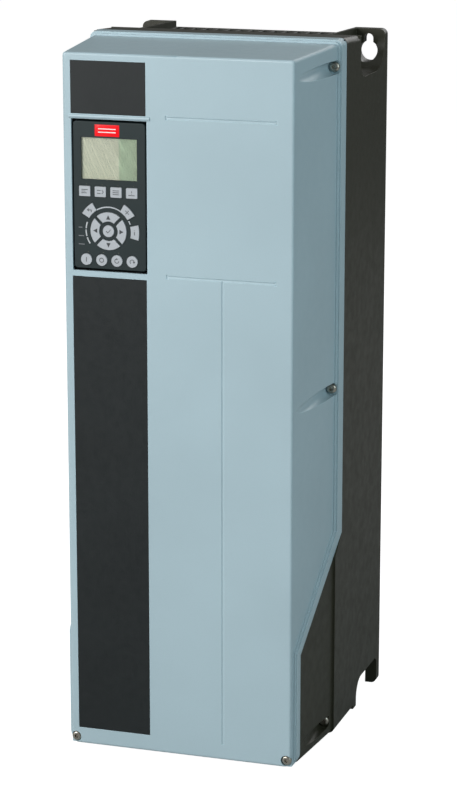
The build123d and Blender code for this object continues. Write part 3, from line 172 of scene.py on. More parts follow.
def new_finish(name, **uniform):
    """A new material and its shader, with the values that are the same all over set on the shader itself."""
    material = bpy.data.materials.new(name)
    material.use_nodes = True
    shader = material.node_tree.nodes["Principled BSDF"]
    for socket, value in uniform.items():
        shader.inputs[socket.replace("_", " ")].default_value = value
    return material, material.node_tree, shader


def place(tree, stretch=(1, 1, 1)):
    """Object coordinates in metres, stretched along an axis for drawn or brushed surfaces."""
    coordinates = node(tree, "TexCoord", {}).outputs["Object"]
    if tuple(stretch) == (1, 1, 1):
        return coordinates
    return node(tree, "Mapping", {"Vector": coordinates, "Scale": stretch}).outputs["Vector"]


def grain(tree, width, where=None, detail=2.0, roughness=0.5):
    """Noise whose spots are about width across, from 0 to 1."""
    inputs = {"Vector": where or place(tree), "Scale": 1.0 / width, "Detail": detail, "Roughness": roughness}
    return node(tree, "TexNoise", inputs).outputs["Fac"]


def span(tree, value, low, high, start=0.0, end=1.0):
    """Maps value from start..end to low..high."""
    inputs = {"Value": value, "From Min": start, "From Max": end, "To Min": low, "To Max": high}
    return node(tree, "MapRange", inputs).outputs["Result"]


def blend(tree, share, first, second, mode="MIX"):
    """Mixes two colours by share."""
    made = node(tree, "Mix", {0: share, 6: solid(first), 7: solid(second)}, data_type="RGBA", blend_type=mode)
    return made.outputs[2]


def solid(value):
    """A colour with its alpha, or a socket as it is."""
    if isinstance(value, bpy.types.NodeSocket):
        return value
    return (*value, 1.0)


def shade(value, amount):
    """A colour made lighter or darker by a factor."""
    return tuple(min(1.0, channel * amount) for channel in value)


def tone(tree, base, width, spread, where=None):
    """The base colour drifting lighter and darker by spread over spots about width across."""
    drift = span(tree, grain(tree, width, where), 0.0, 1.0, 0.3, 0.7)
    return blend(tree, drift, shade(base, 1 - spread), shade(base, 1 + spread))


def edge_mask(tree, width):
    """1 on sharp edges, 0 on flat faces, over a band of the given width; it places the painted edge highlight of
    powder paint.
    """
    rounded = node(tree, "Bevel", {"Radius": width}, samples=BEVEL_SAMPLES).outputs["Normal"]
    flat = node(tree, "NewGeometry", {}).outputs["Normal"]
    facing = node(tree, "VectorMath", {0: rounded, 1: flat}, operation="DOT_PRODUCT").outputs["Value"]
    return span(tree, facing, 1.0, 0.0, 0.86, 0.995)


def relief(tree, shader, height, depth, round_edges=0.0, strength=1.0):
    """Drives the shader's normal with a height of the given depth, over slightly rounded edges."""
    inputs = {"Height": height, "Distance": depth, "Strength": strength}
    if round_edges:
        inputs["Normal"] = node(tree, "Bevel", {"Radius": round_edges}, samples=BEVEL_SAMPLES).outputs["Normal"]
    bump = node(tree, "Bump", inputs)
    tree.links.new(bump.outputs["Normal"], shader.inputs["Normal"])


def wire(tree, shader, **sockets):
    """Links sockets to the shader's inputs."""
    for socket, value in sockets.items():
        tree.links.new(value, shader.inputs[socket.replace("_", " ")])


# ---------------------------------------------------------------- finishes
def powder_paint(name, base, sizes, gloss, edge, sheen):
    """Powder paint on a die casting: fine orange peel, slow tone drift, and a painted highlight, a brighter band
    on sharp edges made lighter by the factor edge.
    """
    material, tree, shader = new_finish(
        name, Specular_IOR_Level=sheen, Coat_Weight=sheen / 4, Coat_Roughness=0.3
    )
    drift = tone(tree, base, 0.11, 0.035)
    specks = span(tree, grain(tree, 0.9 * MM, detail=3.0), 0.0, 0.5, 0.45, 0.8)
    speckled = blend(tree, specks, drift, shade(base, 0.9))
    edges = edge_mask(tree, sizes.edge_highlight_width)
    # Painted highlight: the colour is made lighter along sharp edges, standing in for light caught by the edges.
    with_painted_highlight = blend(tree, span(tree, edges, 0.0, 0.6), speckled, shade(base, edge))
    rough = span(tree, grain(tree, 9 * MM, detail=4.0), gloss - 0.05, gloss + 0.06, 0.3, 0.7)
    peel = grain(tree, sizes.peel, detail=1.5)
    wire(tree, shader, Base_Color=with_painted_highlight, Roughness=rough)
    relief(tree, shader, peel, 0.045 * MM, round_edges=0.35 * MM, strength=0.55)
    return material


def moulded_plastic(name, base, grain_width, gloss, depth=0.02 * MM, flecks=0.0, sheen=0.5):
    """Moulded plastic with an etched texture, and short glass fibres near the surface where flecks is set."""
    material, tree, shader = new_finish(name, Specular_IOR_Level=sheen)
    cloud = tone(tree, base, 0.035, 0.07)
    etched = grain(tree, grain_width, detail=3.0, roughness=0.65)
    if flecks:
        fibres = grain(tree, 0.5 * MM, place(tree, (1, 1, 0.14)), detail=1.0)
        cloud = blend(tree, span(tree, fibres, 0.0, flecks, 0.62, 0.75), cloud, shade(base, 2.6))
    rough = span(tree, etched, gloss - 0.08, gloss + 0.08, 0.3, 0.7)
    wire(tree, shader, Base_Color=cloud, Roughness=rough)
    relief(tree, shader, etched, depth, round_edges=0.2 * MM, strength=0.7)
    return material


def soft_key_rubber(name, base):
    """Silicone key caps with a soft matt coat, a little darker where they are touched."""
    material, tree, shader = new_finish(name, Sheen_Weight=0.15, Sheen_Roughness=0.4)
    touched = span(tree, grain(tree, 4 * MM, detail=3.0), 0.0, 0.35, 0.45, 0.75)
    worn = blend(tree, touched, base, shade(base, 0.86))
    fine = grain(tree, 0.22 * MM, detail=2.0)
    wire(tree, shader, Base_Color=worn, Roughness=span(tree, fine, 0.5, 0.66, 0.3, 0.7))
    relief(tree, shader, fine, 0.012 * MM, round_edges=0.25 * MM, strength=0.6)
    return material


def printed_film(name, base):
    """Polyester film with a fine brushed face and a slightly cloudy sheen."""
    material, tree, shader = new_finish(name, Specular_IOR_Level=0.28)
    brushed = grain(tree, 0.35 * MM, place(tree, (1, 1, 0.03)), detail=3.0)
    cloud = tone(tree, base, 0.07, 0.10)
    streaked = blend(tree, span(tree, brushed, 0.0, 0.5, 0.35, 0.75), cloud, shade(base, 1.28))
    wire(tree, shader, Base_Color=streaked, Roughness=span(tree, grain(tree, 6 * MM), 0.34, 0.5, 0.3, 0.7))
    relief(tree, shader, brushed, 0.008 * MM, strength=0.5)
    return material


def printed_ink(name, base, gloss=0.5):
    """Screen-printed ink, slightly uneven in tone."""
    material, tree, shader = new_finish(name)
    wire(
        tree, shader, Base_Color=tone(tree, base, 1.1 * MM, 0.12),
        Roughness=span(tree, grain(tree, 0.6 * MM), gloss - 0.08, gloss + 0.1),
    )
    return material


def turned_steel(name, base):
    """Stainless steel turned on a lathe, with fine rings and a few dull patches."""
    material, tree, shader = new_finish(name, Metallic=1.0)
    dull = grain(tree, 1.6 * MM, detail=4.0)
    rings = grain(tree, 0.12 * MM, detail=2.0)
    tint = blend(tree, span(tree, dull, 0.0, 0.6, 0.4, 0.7), base, shade(base, 0.62))
    wire(tree, shader, Base_Color=tint, Roughness=span(tree, dull, 0.24, 0.46, 0.3, 0.7))
    relief(tree, shader, rings, 0.01 * MM, round_edges=0.12 * MM, strength=0.6)
    return material


def zinc_plate(name, base, size):
    """Zinc-plated sheet with crystals of slightly different greys and a pale yellow tint."""
    material, tree, shader = new_finish(name, Metallic=1.0)
    cells = node(tree, "TexVoronoi", {"Vector": place(tree), "Scale": 1.0 / size}).outputs["Color"]
    lightness = node(tree, "SeparateColor", {"Color": cells}).outputs["Red"]
    spangle = blend(tree, lightness, shade(base, 0.8), shade(base, 1.12))
    tinted = blend(tree, span(tree, grain(tree, 0.03), 0.0, 0.25, 0.4, 0.7), spangle, (0.62, 0.56, 0.38))
    wire(tree, shader, Base_Color=tinted, Roughness=span(tree, lightness, 0.28, 0.46))
    relief(tree, shader, grain(tree, 0.8 * MM, detail=3.0), 0.01 * MM, round_edges=0.2 * MM, strength=0.4)
    return material


def drawn_metal(name, base, stretch, gloss):
    """Extruded or drawn metal with die lines along one axis."""
    material, tree, shader = new_finish(name, Metallic=1.0)
    lines = grain(tree, 0.5 * MM, place(tree, stretch), detail=4.0, roughness=0.7)
    patches = grain(tree, 0.045, detail=3.0)
    tint = blend(tree, span(tree, lines, 0.0, 0.55, 0.35, 0.7), base, shade(base, 0.72))
    stained = blend(tree, span(tree, patches, 0.0, 0.3, 0.5, 0.8), tint, shade(base, 0.6))
    wire(tree, shader, Base_Color=stained, Roughness=span(tree, lines, gloss - 0.1, gloss + 0.12, 0.3, 0.7))
    relief(tree, shader, lines, 0.02 * MM, round_edges=0.15 * MM, strength=0.5)
    return material


def liquid_crystal(name, base, side, box):
    """An unlit display with a fine dot grid. The pale main area is a painted reflection and the greener column at
    the right is the face without it; the whole face is painted lighter towards the top.
    """
    low, high = box
    material, tree, shader = new_finish(name, Specular_IOR_Level=0.35)
    where = node(tree, "SeparateXYZ", {"Vector": place(tree)})
    across = span(tree, where.outputs["X"], 0.0, 1.0, low.x, high.x)
    up = span(tree, where.outputs["Z"], 0.0, 1.0, low.z, high.z)
    # Painted reflection: left of this split the face takes the paler main colour, a reflection painted in; right
    # of it the greener face without it.
    column = span(tree, across, 0.0, 1.0, 0.655, 0.675)
    # Painted light: the face is made lighter towards the top.
    painted_light_upward = span(tree, up, 0.0, 0.35)
    main = blend(tree, painted_light_upward, base, shade(base, 1.12))
    greener = blend(tree, painted_light_upward, side, shade(side, 1.15))
    face = blend(tree, column, main, greener)
    flat = node(tree, "CombineXYZ", {"X": where.outputs["X"], "Y": where.outputs["Z"]}).outputs["Vector"]
    dots = node(
        tree, "TexBrick",
        {"Vector": flat, "Color1": (1, 1, 1, 1), "Color2": (0.97, 0.98, 0.96, 1), "Mortar": (0.86, 0.88, 0.84, 1),
         "Scale": 1.0 / MM, "Mortar Size": 0.05, "Brick Width": 0.42, "Row Height": 0.42},
        offset=0.0,
    ).outputs["Color"]
    dotted = blend(tree, 1.0, face, dots, mode="MULTIPLY")
    wire(tree, shader, Base_Color=dotted, Roughness=span(tree, grain(tree, 2 * MM), 0.3, 0.42))
    return material


def clear_pane(name, tint, cover, gloss):
    """A clear moulded window: mostly see-through, with a glossy, faintly hazy face."""
    material, tree, shader = new_finish(name, Alpha=cover, Specular_IOR_Level=0.6, Coat_Weight=0.4)
    wire(
        tree, shader, Base_Color=tone(tree, tint, 0.02, 0.04),
        Roughness=span(tree, grain(tree, 12 * MM, detail=4.0), gloss, gloss + 0.02, 0.3, 0.7),
    )
    return material


def gloss_label(name, base):
    """A domed printed label with a clear top."""
    material, tree, shader = new_finish(name, Specular_IOR_Level=0.2, Coat_Weight=0.15, Coat_Roughness=0.12)
    wire(
        tree, shader, Base_Color=tone(tree, base, 5 * MM, 0.05),
        Roughness=span(tree, grain(tree, 3 * MM, detail=3.0), 0.28, 0.36),
    )
    relief(tree, shader, grain(tree, 0.9 * MM), 0.006 * MM, strength=0.3)
    return material


def solder_mask(name, base):
    """A circuit board: tracks under green solder mask and scattered tinned pads."""
    material, tree, shader = new_finish(name, Coat_Weight=0.35, Coat_Roughness=0.2)
    where = node(tree, "SeparateXYZ", {"Vector": place(tree)})
    flat = node(tree, "CombineXYZ", {"X": where.outputs["X"], "Y": where.outputs["Z"]}).outputs["Vector"]
    tracks = node(
        tree, "TexBrick",
        {"Vector": flat, "Color1": (1, 1, 1, 1), "Color2": (0.55, 0.55, 0.55, 1), "Mortar": (0, 0, 0, 1),
         "Scale": 1.0 / MM, "Mortar Size": 0.22, "Brick Width": 9.0, "Row Height": 1.1, "Bias": -0.1},
    ).outputs["Color"]
    run = node(tree, "SeparateColor", {"Color": tracks}).outputs["Red"]
    copper_under = blend(tree, span(tree, run, 0.0, 0.6), base, shade(base, 1.9))
    pads = node(
        tree, "TexVoronoi", {"Vector": flat, "Scale": 1.0 / (5.5 * MM), "Randomness": 0.75}, feature="F1"
    ).outputs["Distance"]
    pad_mask = span(tree, pads, 1.0, 0.0, 0.10, 0.13)
    printed = blend(tree, pad_mask, copper_under, (0.62, 0.60, 0.55))
    wire(tree, shader, Base_Color=printed, Roughness=span(tree, pad_mask, 0.38, 0.25))
    relief(tree, shader, run, 0.03 * MM, strength=0.5)
    return material


def wound_choke(name, base):
    """Stacked core sheets under brown varnish."""
    material, tree, shader = new_finish(name, Metallic=0.35, Coat_Weight=0.3, Coat_Roughness=0.25)
    where = place(tree)
    sheets = node(
        tree, "TexWave", {"Vector": where, "Scale": 0.5 / MM / 20, "Distortion": 0.4, "Detail": 1.0},
        wave_type="BANDS", bands_direction="Z",
    ).outputs["Fac"]
    pooled = span(tree, grain(tree, 6 * MM, detail=4.0), 0.0, 0.6, 0.4, 0.7)
    varnish = blend(tree, pooled, base, (0.10, 0.045, 0.02))
    layered = blend(tree, span(tree, sheets, 0.0, 0.5), varnish, shade(base, 0.5))
    wire(tree, shader, Base_Color=layered, Roughness=span(tree, sheets, 0.35, 0.6))
    relief(tree, shader, sheets, 0.05 * MM, strength=0.6)
    return material


def sleeve_plastic(name, base, stripe):
    """Shrink sleeve on a capacitor: glossy dark film with a light stripe, its gloss uneven along X only."""
    material, tree, shader = new_finish(name, Coat_Weight=0.4, Coat_Roughness=0.15)
    along_row = node(tree, "SeparateXYZ", {"Vector": place(tree)}).outputs["X"]
    band = node(
        tree, "TexWave", {"Vector": place(tree), "Scale": 0.5 / 0.044, "Distortion": 0.0},
        wave_type="BANDS", bands_direction="X",
    ).outputs["Fac"]
    mark = span(tree, band, 0.0, 1.0, 0.93, 0.95)
    faded = blend(tree, mark, tone(tree, base, 8 * MM, 0.12), stripe)
    wire(tree, shader, Base_Color=faded, Roughness=span(tree, grain(tree, 5 * MM, along_row), 0.25, 0.38))
    return material


def foam(name, base):
    """Foamed-in-place gasket with open cells, each cell's pit painted darker as shade."""
    material, tree, shader = new_finish(name, Specular_IOR_Level=0.2)
    cells = node(tree, "TexVoronoi", {"Vector": place(tree), "Scale": 1.0 / (0.8 * MM)}).outputs["Distance"]
    # Painted shade: each cell's pit is made darker, the deeper the darker.
    wire(
        tree, shader, Base_Color=blend(tree, cells, shade(base, 0.5), shade(base, 1.5)),
        Roughness=span(tree, cells, 0.75, 0.95),
    )
    relief(tree, shader, cells, 0.12 * MM, strength=0.8)
    return material


def paint_nodes(material, *names):
    """Gives CAD nodes a finish."""
    for name in names:
        for material_slot in NODES[name].material_slots:
            material_slot.material = material


# ---------------------------------------------------------------- mesh building
def solids(name):
    """The (lowest, highest) corners of each separate solid in a CAD node, from the lowest up."""
    shape = bmesh.new()
    shape.from_mesh(NODES[name].data)
    bmesh.ops.remove_doubles(shape, verts=shape.verts, dist=0.001 * MM)
    unseen = set(shape.verts)
    boxes = []
    while unseen:
        island = []
        reached = [unseen.pop()]
        while reached:
            vertex = reached.pop()
            island.append(vertex.co.copy())
            for edge in vertex.link_edges:
                far = edge.other_vert(vertex)
                if far in unseen:
                    unseen.remove(far)
                    reached.append(far)
        low = Vector([min(point[axis] for point in island) for axis in range(3)])
        high = Vector([max(point[axis] for point in island) for axis in range(3)])
        boxes.append((low, high))
    shape.free()
    return sorted(boxes, key=lambda box: (round(box[0].z, 4), round(box[0].x, 4), round(box[0].y, 4)))


def skin(shape, near, far):
    """Faces between two rings of vertices, either of which may be a single point."""
    count = max(len(near), len(far))
    for step in range(count):
        ahead = (step + 1) % count
        corners = [near[step % len(near)], near[ahead % len(near)], far[ahead % len(far)], far[step % len(far)]]
        shape.faces.new(list(dict.fromkeys(corners)))


def turned(shape, profile, centre, axis, segments=40, lobes=6):
    """Rings skinned about an axis through centre. A ring is (place along the axis, radius, lobe height)."""
    matrix = Matrix.Translation(centre) @ axis.to_track_quat("Z", "Y").to_matrix().to_4x4()
    rings = []
    for along, radius, lobe in profile:
        if radius == 0:
            rings.append([shape.verts.new(matrix @ Vector((0, 0, along)))])
            continue
        ring = []
        for step in range(segments):
            angle = 2 * pi * step / segments
            reach = radius + lobe * cos(lobes * angle)
            ring.append(shape.verts.new(matrix @ Vector((reach * cos(angle), reach * sin(angle), along))))
        rings.append(ring)
    for near, far in zip(rings, rings[1:]):
        skin(shape, near, far)


def rounded_outline(low, high, corner, inset, steps=6):
    """(x, z) points of a rounded rectangle, drawn inset."""
    reach = max(corner - inset, 0.02 * MM)
    points = []
    for turn, (x, z) in enumerate(((high.x, high.z), (low.x, high.z), (low.x, low.z), (high.x, low.z))):
        middle_x = x - (corner if turn in (0, 3) else -corner)
        middle_z = z - (corner if turn in (0, 1) else -corner)
        for step in range(steps + 1):
            angle = radians(90) * (turn + step / steps)
            points.append((middle_x + reach * cos(angle), middle_z + reach * sin(angle)))
    return points


def rounded_plate(shape, low, high, corner, edge, dome=0.0):
    """A plate that fills a box, with rounded corners, a chamfered front edge and a slightly domed front."""
    layers = [(high.y, 0.0), (low.y + edge + dome, 0.0), (low.y + dome, edge)]
    if dome:
        layers += [(low.y + dome * 0.45, 3 * edge), (low.y, 8 * edge)]
    rings = []
    for y, inset in layers:
        ring = [shape.verts.new((x, y, z)) for x, z in rounded_outline(low, high, corner, inset)]
        rings.append(ring)
    for near, far in zip(rings, rings[1:]):
        skin(shape, near, far)
    shape.faces.new(rings[0])
    shape.faces.new(rings[-1])


def ribbon(shape, points, centre, width, height, closed=False):
    """A flat printed line of (x, z) points about centre, standing up towards -Y."""
    count = len(points)
    sides = []
    for place_on_line in range(count):
        here = Vector(points[place_on_line])
        before = Vector(points[place_on_line - 1]) if closed or place_on_line else here
        after = Vector(points[(place_on_line + 1) % count]) if closed or place_on_line < count - 1 else here
        into = (here - before).normalized() if before != here else (after - here).normalized()
        out = (after - here).normalized() if after != here else into
        square = Vector((-into.y - out.y, into.x + out.x)).normalized()
        reach = width / 2 / max(square.dot(Vector((-into.y, into.x))), 0.35)
        sides.append((here + square * reach, here - square * reach))
    rings = []
    for left, right in sides:
        corners = [(left, 0.0), (left, height), (right, height), (right, 0.0)]
        rings.append([shape.verts.new(centre + Vector((p.x, -up, p.y))) for p, up in corners])
    pairs = list(zip(rings, rings[1:]))
    if closed:
        pairs.append((rings[-1], rings[0]))
    for near, far in pairs:
        skin(shape, near, far)
    if not closed:
        shape.faces.new(rings[0])
        shape.faces.new(rings[-1])


def arc(radius, start, end, steps=16):
    """(x, z) points along an arc about the origin, with its angles in degrees."""
    angles = [radians(start + (end - start) * step / steps) for step in range(steps + 1)]
    return [(radius * cos(angle), radius * sin(angle)) for angle in angles]


def make_piece(name, shape, material, body, stands_for=(), crease=32):
    """Turns a bmesh into a piece that rides on a body of the frame."""
    bmesh.ops.recalc_face_normals(shape, faces=shape.faces)
    mesh = bpy.data.meshes.new(name)
    shape.to_mesh(mesh)
    shape.free()
    mesh.materials.append(material)
    mesh.shade_smooth()
    mesh.set_sharp_from_angle(angle=radians(crease))
    piece = bpy.data.objects.new(name, mesh)
    bpy.context.scene.collection.objects.link(piece)
    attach(piece, body)
    if stands_for:
        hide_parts(*stands_for)
    return piece


# ---------------------------------------------------------------- screws
HEAD_R = 4.6 * MM
HEAD_H = 3.2 * MM
SHANK_R = 2.0 * MM
THREAD_DEPTH = 0.28 * MM
PLAIN_SHANK = 4.0 * MM
POWER_WAYS = 4
POWER_CLAMP_R, POWER_CLAMP_LENGTH = 3.6 * MM, 8.8 * MM
POWER_CLAMP_DEPTH, POWER_CLAMP_DROP = 5 * MM, 12 * MM
CONTROL_WAYS = 8
CONTROL_CLAMP_R, CONTROL_CLAMP_LENGTH = 1.8 * MM, 3.9 * MM
CONTROL_CLAMP_DEPTH = 2 * MM


def pan_head_screw(shape, box, pitch):
    """A pan-head screw with a six-lobe recess, whose head faces forward at the front of its box."""
    low, high = box
    centre = Vector(((low.x + high.x) / 2, low.y, (low.z + high.z) / 2))
    profile = [
        (2.50 * MM, 0, 0),
        (2.35 * MM, 1.35 * MM, 0.20 * MM),
        (0.45 * MM, 1.70 * MM, 0.32 * MM),
        (0.05 * MM, 1.85 * MM, 0.32 * MM),
        (0.0, 2.45 * MM, 0),
        (0.12 * MM, 3.1 * MM, 0),
        (0.45 * MM, 3.8 * MM, 0),
        (1.05 * MM, 4.35 * MM, 0),
        (1.80 * MM, HEAD_R, 0),
        (HEAD_H - 0.25 * MM, HEAD_R, 0),
        (HEAD_H, HEAD_R - 0.25 * MM, 0),
        (HEAD_H, SHANK_R, 0),
    ]
    along = HEAD_H + PLAIN_SHANK
    end = high.y - low.y - 1.5 * MM
    profile.append((along, SHANK_R, 0))
    while along < end:
        profile.append((along + 0.15 * pitch, SHANK_R - THREAD_DEPTH, 0))
        profile.append((along + 0.45 * pitch, SHANK_R - THREAD_DEPTH, 0))
        profile.append((along + 0.85 * pitch, SHANK_R, 0))
        profile.append((along + pitch, SHANK_R, 0))
        along += pitch
    profile.append((high.y - low.y, SHANK_R * 0.6, 0))
    profile.append((high.y - low.y, 0, 0))
    turned(shape, profile, centre, -FORWARD, segments=36)


def clamp_screw(shape, front, radius, length):
    """A clamp screw at the bottom of its hole, with a small recess in its face."""
    profile = [
        (0.35 * radius, 0, 0),
        (0.32 * radius, 0.30 * radius, 0.05 * radius),
        (0.05 * radius, 0.42 * radius, 0.10 * radius),
        (0.0, 0.60 * radius, 0),
        (0.06 * radius, 0.92 * radius, 0),
        (0.20 * radius, radius, 0),
        (length, radius, 0),
        (length, 0, 0),
    ]
    turned(shape, profile, front, -FORWARD, segments=30)


class DRIVE_OT_fit_screws(bpy.types.Operator):
    """Fit the captive cover screws, the screws of the lower housing and the terminals' clamp screws"""

    bl_idname = "drive.fit_screws"
    bl_label = "Screws"

    def execute(self, context):
        steel = turned_steel("screw_stainless", context.scene.drive_colours.screws)
        pitch = context.scene.drive_sizes.thread
        groups = (
            ("cover_screws", "cover", "cover_screw"),
            ("lower_housing_screws", "chassis", "housing_screw"),
        )
        for group, body, name in groups:
            for number, box in enumerate(solids(group), 1):
                shape = bmesh.new()
                pan_head_screw(shape, box, pitch)
                make_piece(f"{name}_{number}", shape, steel, body, [group])
        paint_nodes(steel, "gland_plate_screws")
        self.fit_clamps(steel)
        return {"FINISHED"}

    def fit_clamps(self, steel):
        """The screws in the power terminals, four a block, and in the control terminals, eight a strip."""
        shape = bmesh.new()
        for block in ("mains_terminals", "motor_terminals"):
            low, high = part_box(block)
            for way in range(POWER_WAYS):
                x = low.x + (high.x - low.x) * (way + 0.5) / POWER_WAYS
                front = Vector((x, low.y + POWER_CLAMP_DEPTH, high.z - POWER_CLAMP_DROP))
                clamp_screw(shape, front, POWER_CLAMP_R, POWER_CLAMP_LENGTH)
        make_piece("power_clamp_screws", shape, steel, "chassis")
        shape = bmesh.new()
        for low, high in solids("control_terminals"):
            for way in range(CONTROL_WAYS):
                x = low.x + (high.x - low.x) * (way + 0.5) / CONTROL_WAYS
                front = Vector((x, low.y + CONTROL_CLAMP_DEPTH, (low.z + high.z) / 2))
                clamp_screw(shape, front, CONTROL_CLAMP_R, CONTROL_CLAMP_LENGTH)
        make_piece("control_clamp_screws", shape, steel, "chassis")


# ---------------------------------------------------------------- castings and inlays
class DRIVE_OT_paint_castings(bpy.types.Operator):
    """Paint the front cover and the two housings, and lay the inlays in the cover"""

    bl_idname = "drive.paint_castings"
    bl_label = "Castings"

    def execute(self, context):
        colours = context.scene.drive_colours
        sizes = context.scene.drive_sizes
        # edge sets the painted highlight on sharp edges; the housing's is stronger, so its seams read as light
        # lines.
        light = powder_paint("cover_powder_paint", colours.cover, sizes, gloss=0.40, edge=1.7, sheen=0.5)
        paint_nodes(light, "front_cover")
        dark = powder_paint("housing_powder_paint", colours.housing, sizes, gloss=0.42, edge=3.2, sheen=0.28)
        paint_nodes(dark, "rear_housing", "lower_housing")
        paint_nodes(printed_film("inlay_printed_film", colours.inlay), "upper_inlay", "lower_inlay")
        paint_nodes(foam("gasket_open_foam", (0.035, 0.035, 0.035)), "cover_gasket")
        return {"FINISHED"}


# ---------------------------------------------------------------- operator panel
LAMP_KEYS = (
    "key_status", "key_quick_menu", "key_main_menu", "key_alarm_log", "key_hand_on", "key_off", "key_auto_on"
)
LAMP_PROFILE = [
    (0.0, 0, 0),
    (0.02 * MM, 0.28 * MM, 0),
    (0.06 * MM, 0.42 * MM, 0),
    (0.4 * MM, 0.42 * MM, 0),
    (0.4 * MM, 0, 0),
]


class DRIVE_OT_dress_panel(bpy.types.Operator):
    """Finish the operator panel: shells, display, badge, lamps and printed marks"""

    bl_idname = "drive.dress_panel"
    bl_label = "Operator panel"

    def execute(self, context):
        colours = context.scene.drive_colours
        sizes = context.scene.drive_sizes
        shell = moulded_plastic("panel_moulded_shell", colours.panel, sizes.texture, 0.5, sheen=0.32)
        paint_nodes(shell, "panel_front_shell", "panel_rear_shell")
        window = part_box("display_window")
        crystal = liquid_crystal("display_liquid_crystal", colours.display, colours.display_unreflected, window)
        paint_nodes(crystal, "display_module")
        shape = bmesh.new()
        rounded_plate(shape, window[0], window[1], 0.6 * MM, 0.35 * MM)
        pane = clear_pane("display_clear_pane", (0.80, 0.85, 0.80), 0.05, 0.08)
        make_piece("display_pane", shape, pane, "panel", ["display_window"])
        self.add_badge(colours)
        lamp = clear_pane("lamp_frosted_lens", (0.42, 0.45, 0.46), 1.0, 0.3)
        paint_nodes(lamp, "status_lamps")
        self.print_marks(colours, sizes)
        return {"FINISHED"}

    def add_badge(self, colours):
        """A plain domed label in place of any mark."""
        low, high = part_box("badge_plate")
        shape = bmesh.new()
        rounded_plate(shape, low, high, 0.5 * MM, 0.12 * MM, dome=0.05 * MM)
        red = gloss_label("badge_gloss_label", colours.badge)
        make_piece("badge_label", shape, red, "panel", ["badge_plate"])
        shape = bmesh.new()
        middle = Vector(((low.x + high.x) / 2, low.y, (low.z + high.z) / 2))
        half = Vector((high.x - low.x, high.z - low.z)) / 2
        for level in (-0.28, 0.28):
            ends = [(-0.72 * half.x, level * half.y), (0.72 * half.x, level * half.y)]
            ribbon(shape, ends, middle, 0.8 * MM, 0.03 * MM)
        white = printed_ink("badge_white_ink", (0.82, 0.80, 0.79))
        make_piece("badge_bars", shape, white, "panel")

    def print_marks(self, colours, sizes):
        """Lines and small bars printed round the keys."""
        pad_low, pad_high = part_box("key_ok")
        face_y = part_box("panel_front_shell")[0].y
        pad = Vector(((pad_low.x + pad_high.x) / 2, face_y, (pad_low.z + pad_high.z) / 2))
        ink = printed_ink("panel_light_ink", shade(colours.keys, 1.05))
        shape = bmesh.new()
        ribbon(shape, arc(sizes.pad_ring, 54, 122), pad, 1.1 * MM, sizes.print_height)
        ribbon(shape, arc(sizes.pad_ring, 19, 28, steps=4), pad, 1.0 * MM, sizes.print_height)
        make_piece("pad_ring_print", shape, ink, "panel")
        shape = bmesh.new()
        label_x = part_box("panel_front_shell")[0].x + 4.2 * MM - pad.x
        for row, reach in enumerate((3.6, 5.2, 5.6)):
            level = (2.2 - 7.6 * row) * MM
            ribbon(shape, [(label_x, level), (label_x + reach * MM, level)], pad, 0.7 * MM, sizes.print_height)
        faint = printed_ink("panel_faint_ink", shade(colours.keys, 0.42))
        make_piece("lamp_label_print", shape, faint, "panel")
        shape = bmesh.new()
        for key in LAMP_KEYS:
            low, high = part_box(key)
            spot = Vector(((low.x + high.x) / 2 + 1.6 * MM, face_y - 0.02 * MM, high.z + 1.0 * MM))
            turned(shape, LAMP_PROFILE, spot, -FORWARD, segments=20)
        dot = gloss_label("key_lamp_lens", (0.16, 0.15, 0.10))
        make_piece("key_lamps", shape, dot, "panel")


# ---------------------------------------------------------------- keys
LEGEND_LINE = 0.62 * MM
LEGEND_RING_R = 1.9


def ring_line(start, stop):
    """(x, z) points in millimetres round a ring, one every 20 degrees."""
    turns = [radians(turn) for turn in range(start, stop, 20)]
    return [(LEGEND_RING_R * cos(turn), LEGEND_RING_R * sin(turn)) for turn in turns]


LEGENDS = {
    "key_status": [[(-3, 1.5), (3, 1.5)], [(-3, 0), (0.8, 0)], [(-3, -1.5), (2, -1.5)]],
    "key_quick_menu": [[(-3, 1.3), (0.4, 1.3)], [(-3, -1.3), (0.4, -1.3)], [(1.5, 1.7), (3, 0), (1.5, -1.7)]],
    "key_main_menu": [[(-3, 1.7), (3, 1.7)], [(-3, 0), (3, 0)], [(-3, -1.7), (3, -1.7)]],
    "key_alarm_log": [[(-3, -1.8), (3, -1.8)], [(0, 2.1), (0, 0.4)], [(0, -0.3), (0, -0.8)]],
    "key_ok": [[(-2.1, 0.1), (-0.6, -1.5), (2.2, 1.6)]],
    "key_back": [[(1.9, -1.5), (1.9, 0.5), (-1.6, 0.5)], [(-0.4, 1.7), (-1.7, 0.5), (-0.4, -0.7)]],
    "key_cancel": [[(-1.6, -1.6), (1.6, 1.6)], [(-1.6, 1.6), (-0.3, 0.3)], [(0.3, -0.3), (1.6, -1.6)]],
    "key_info": [[(0, -2.2), (0, 0.7)], [(0, 1.6), (0, 2.2)]],
    "key_hand_on": [[(0, -2.1), (0, 2.1)]],
    "key_off": [ring_line(0, 360)],
    "key_auto_on": [ring_line(60, 361), [(0, 0.9), (0, 2.6)]],
    "key_reset": [ring_line(-30, 241), [(1.0, 0.3), (1.75, -0.95), (2.7, 0.2)]],
}
CLOSED_LEGENDS = ("key_off",)
ARROWS = {"key_right": 0, "key_up": 90, "key_left": 180, "key_down": 270}
ARROW_REACH = 2.5 * MM


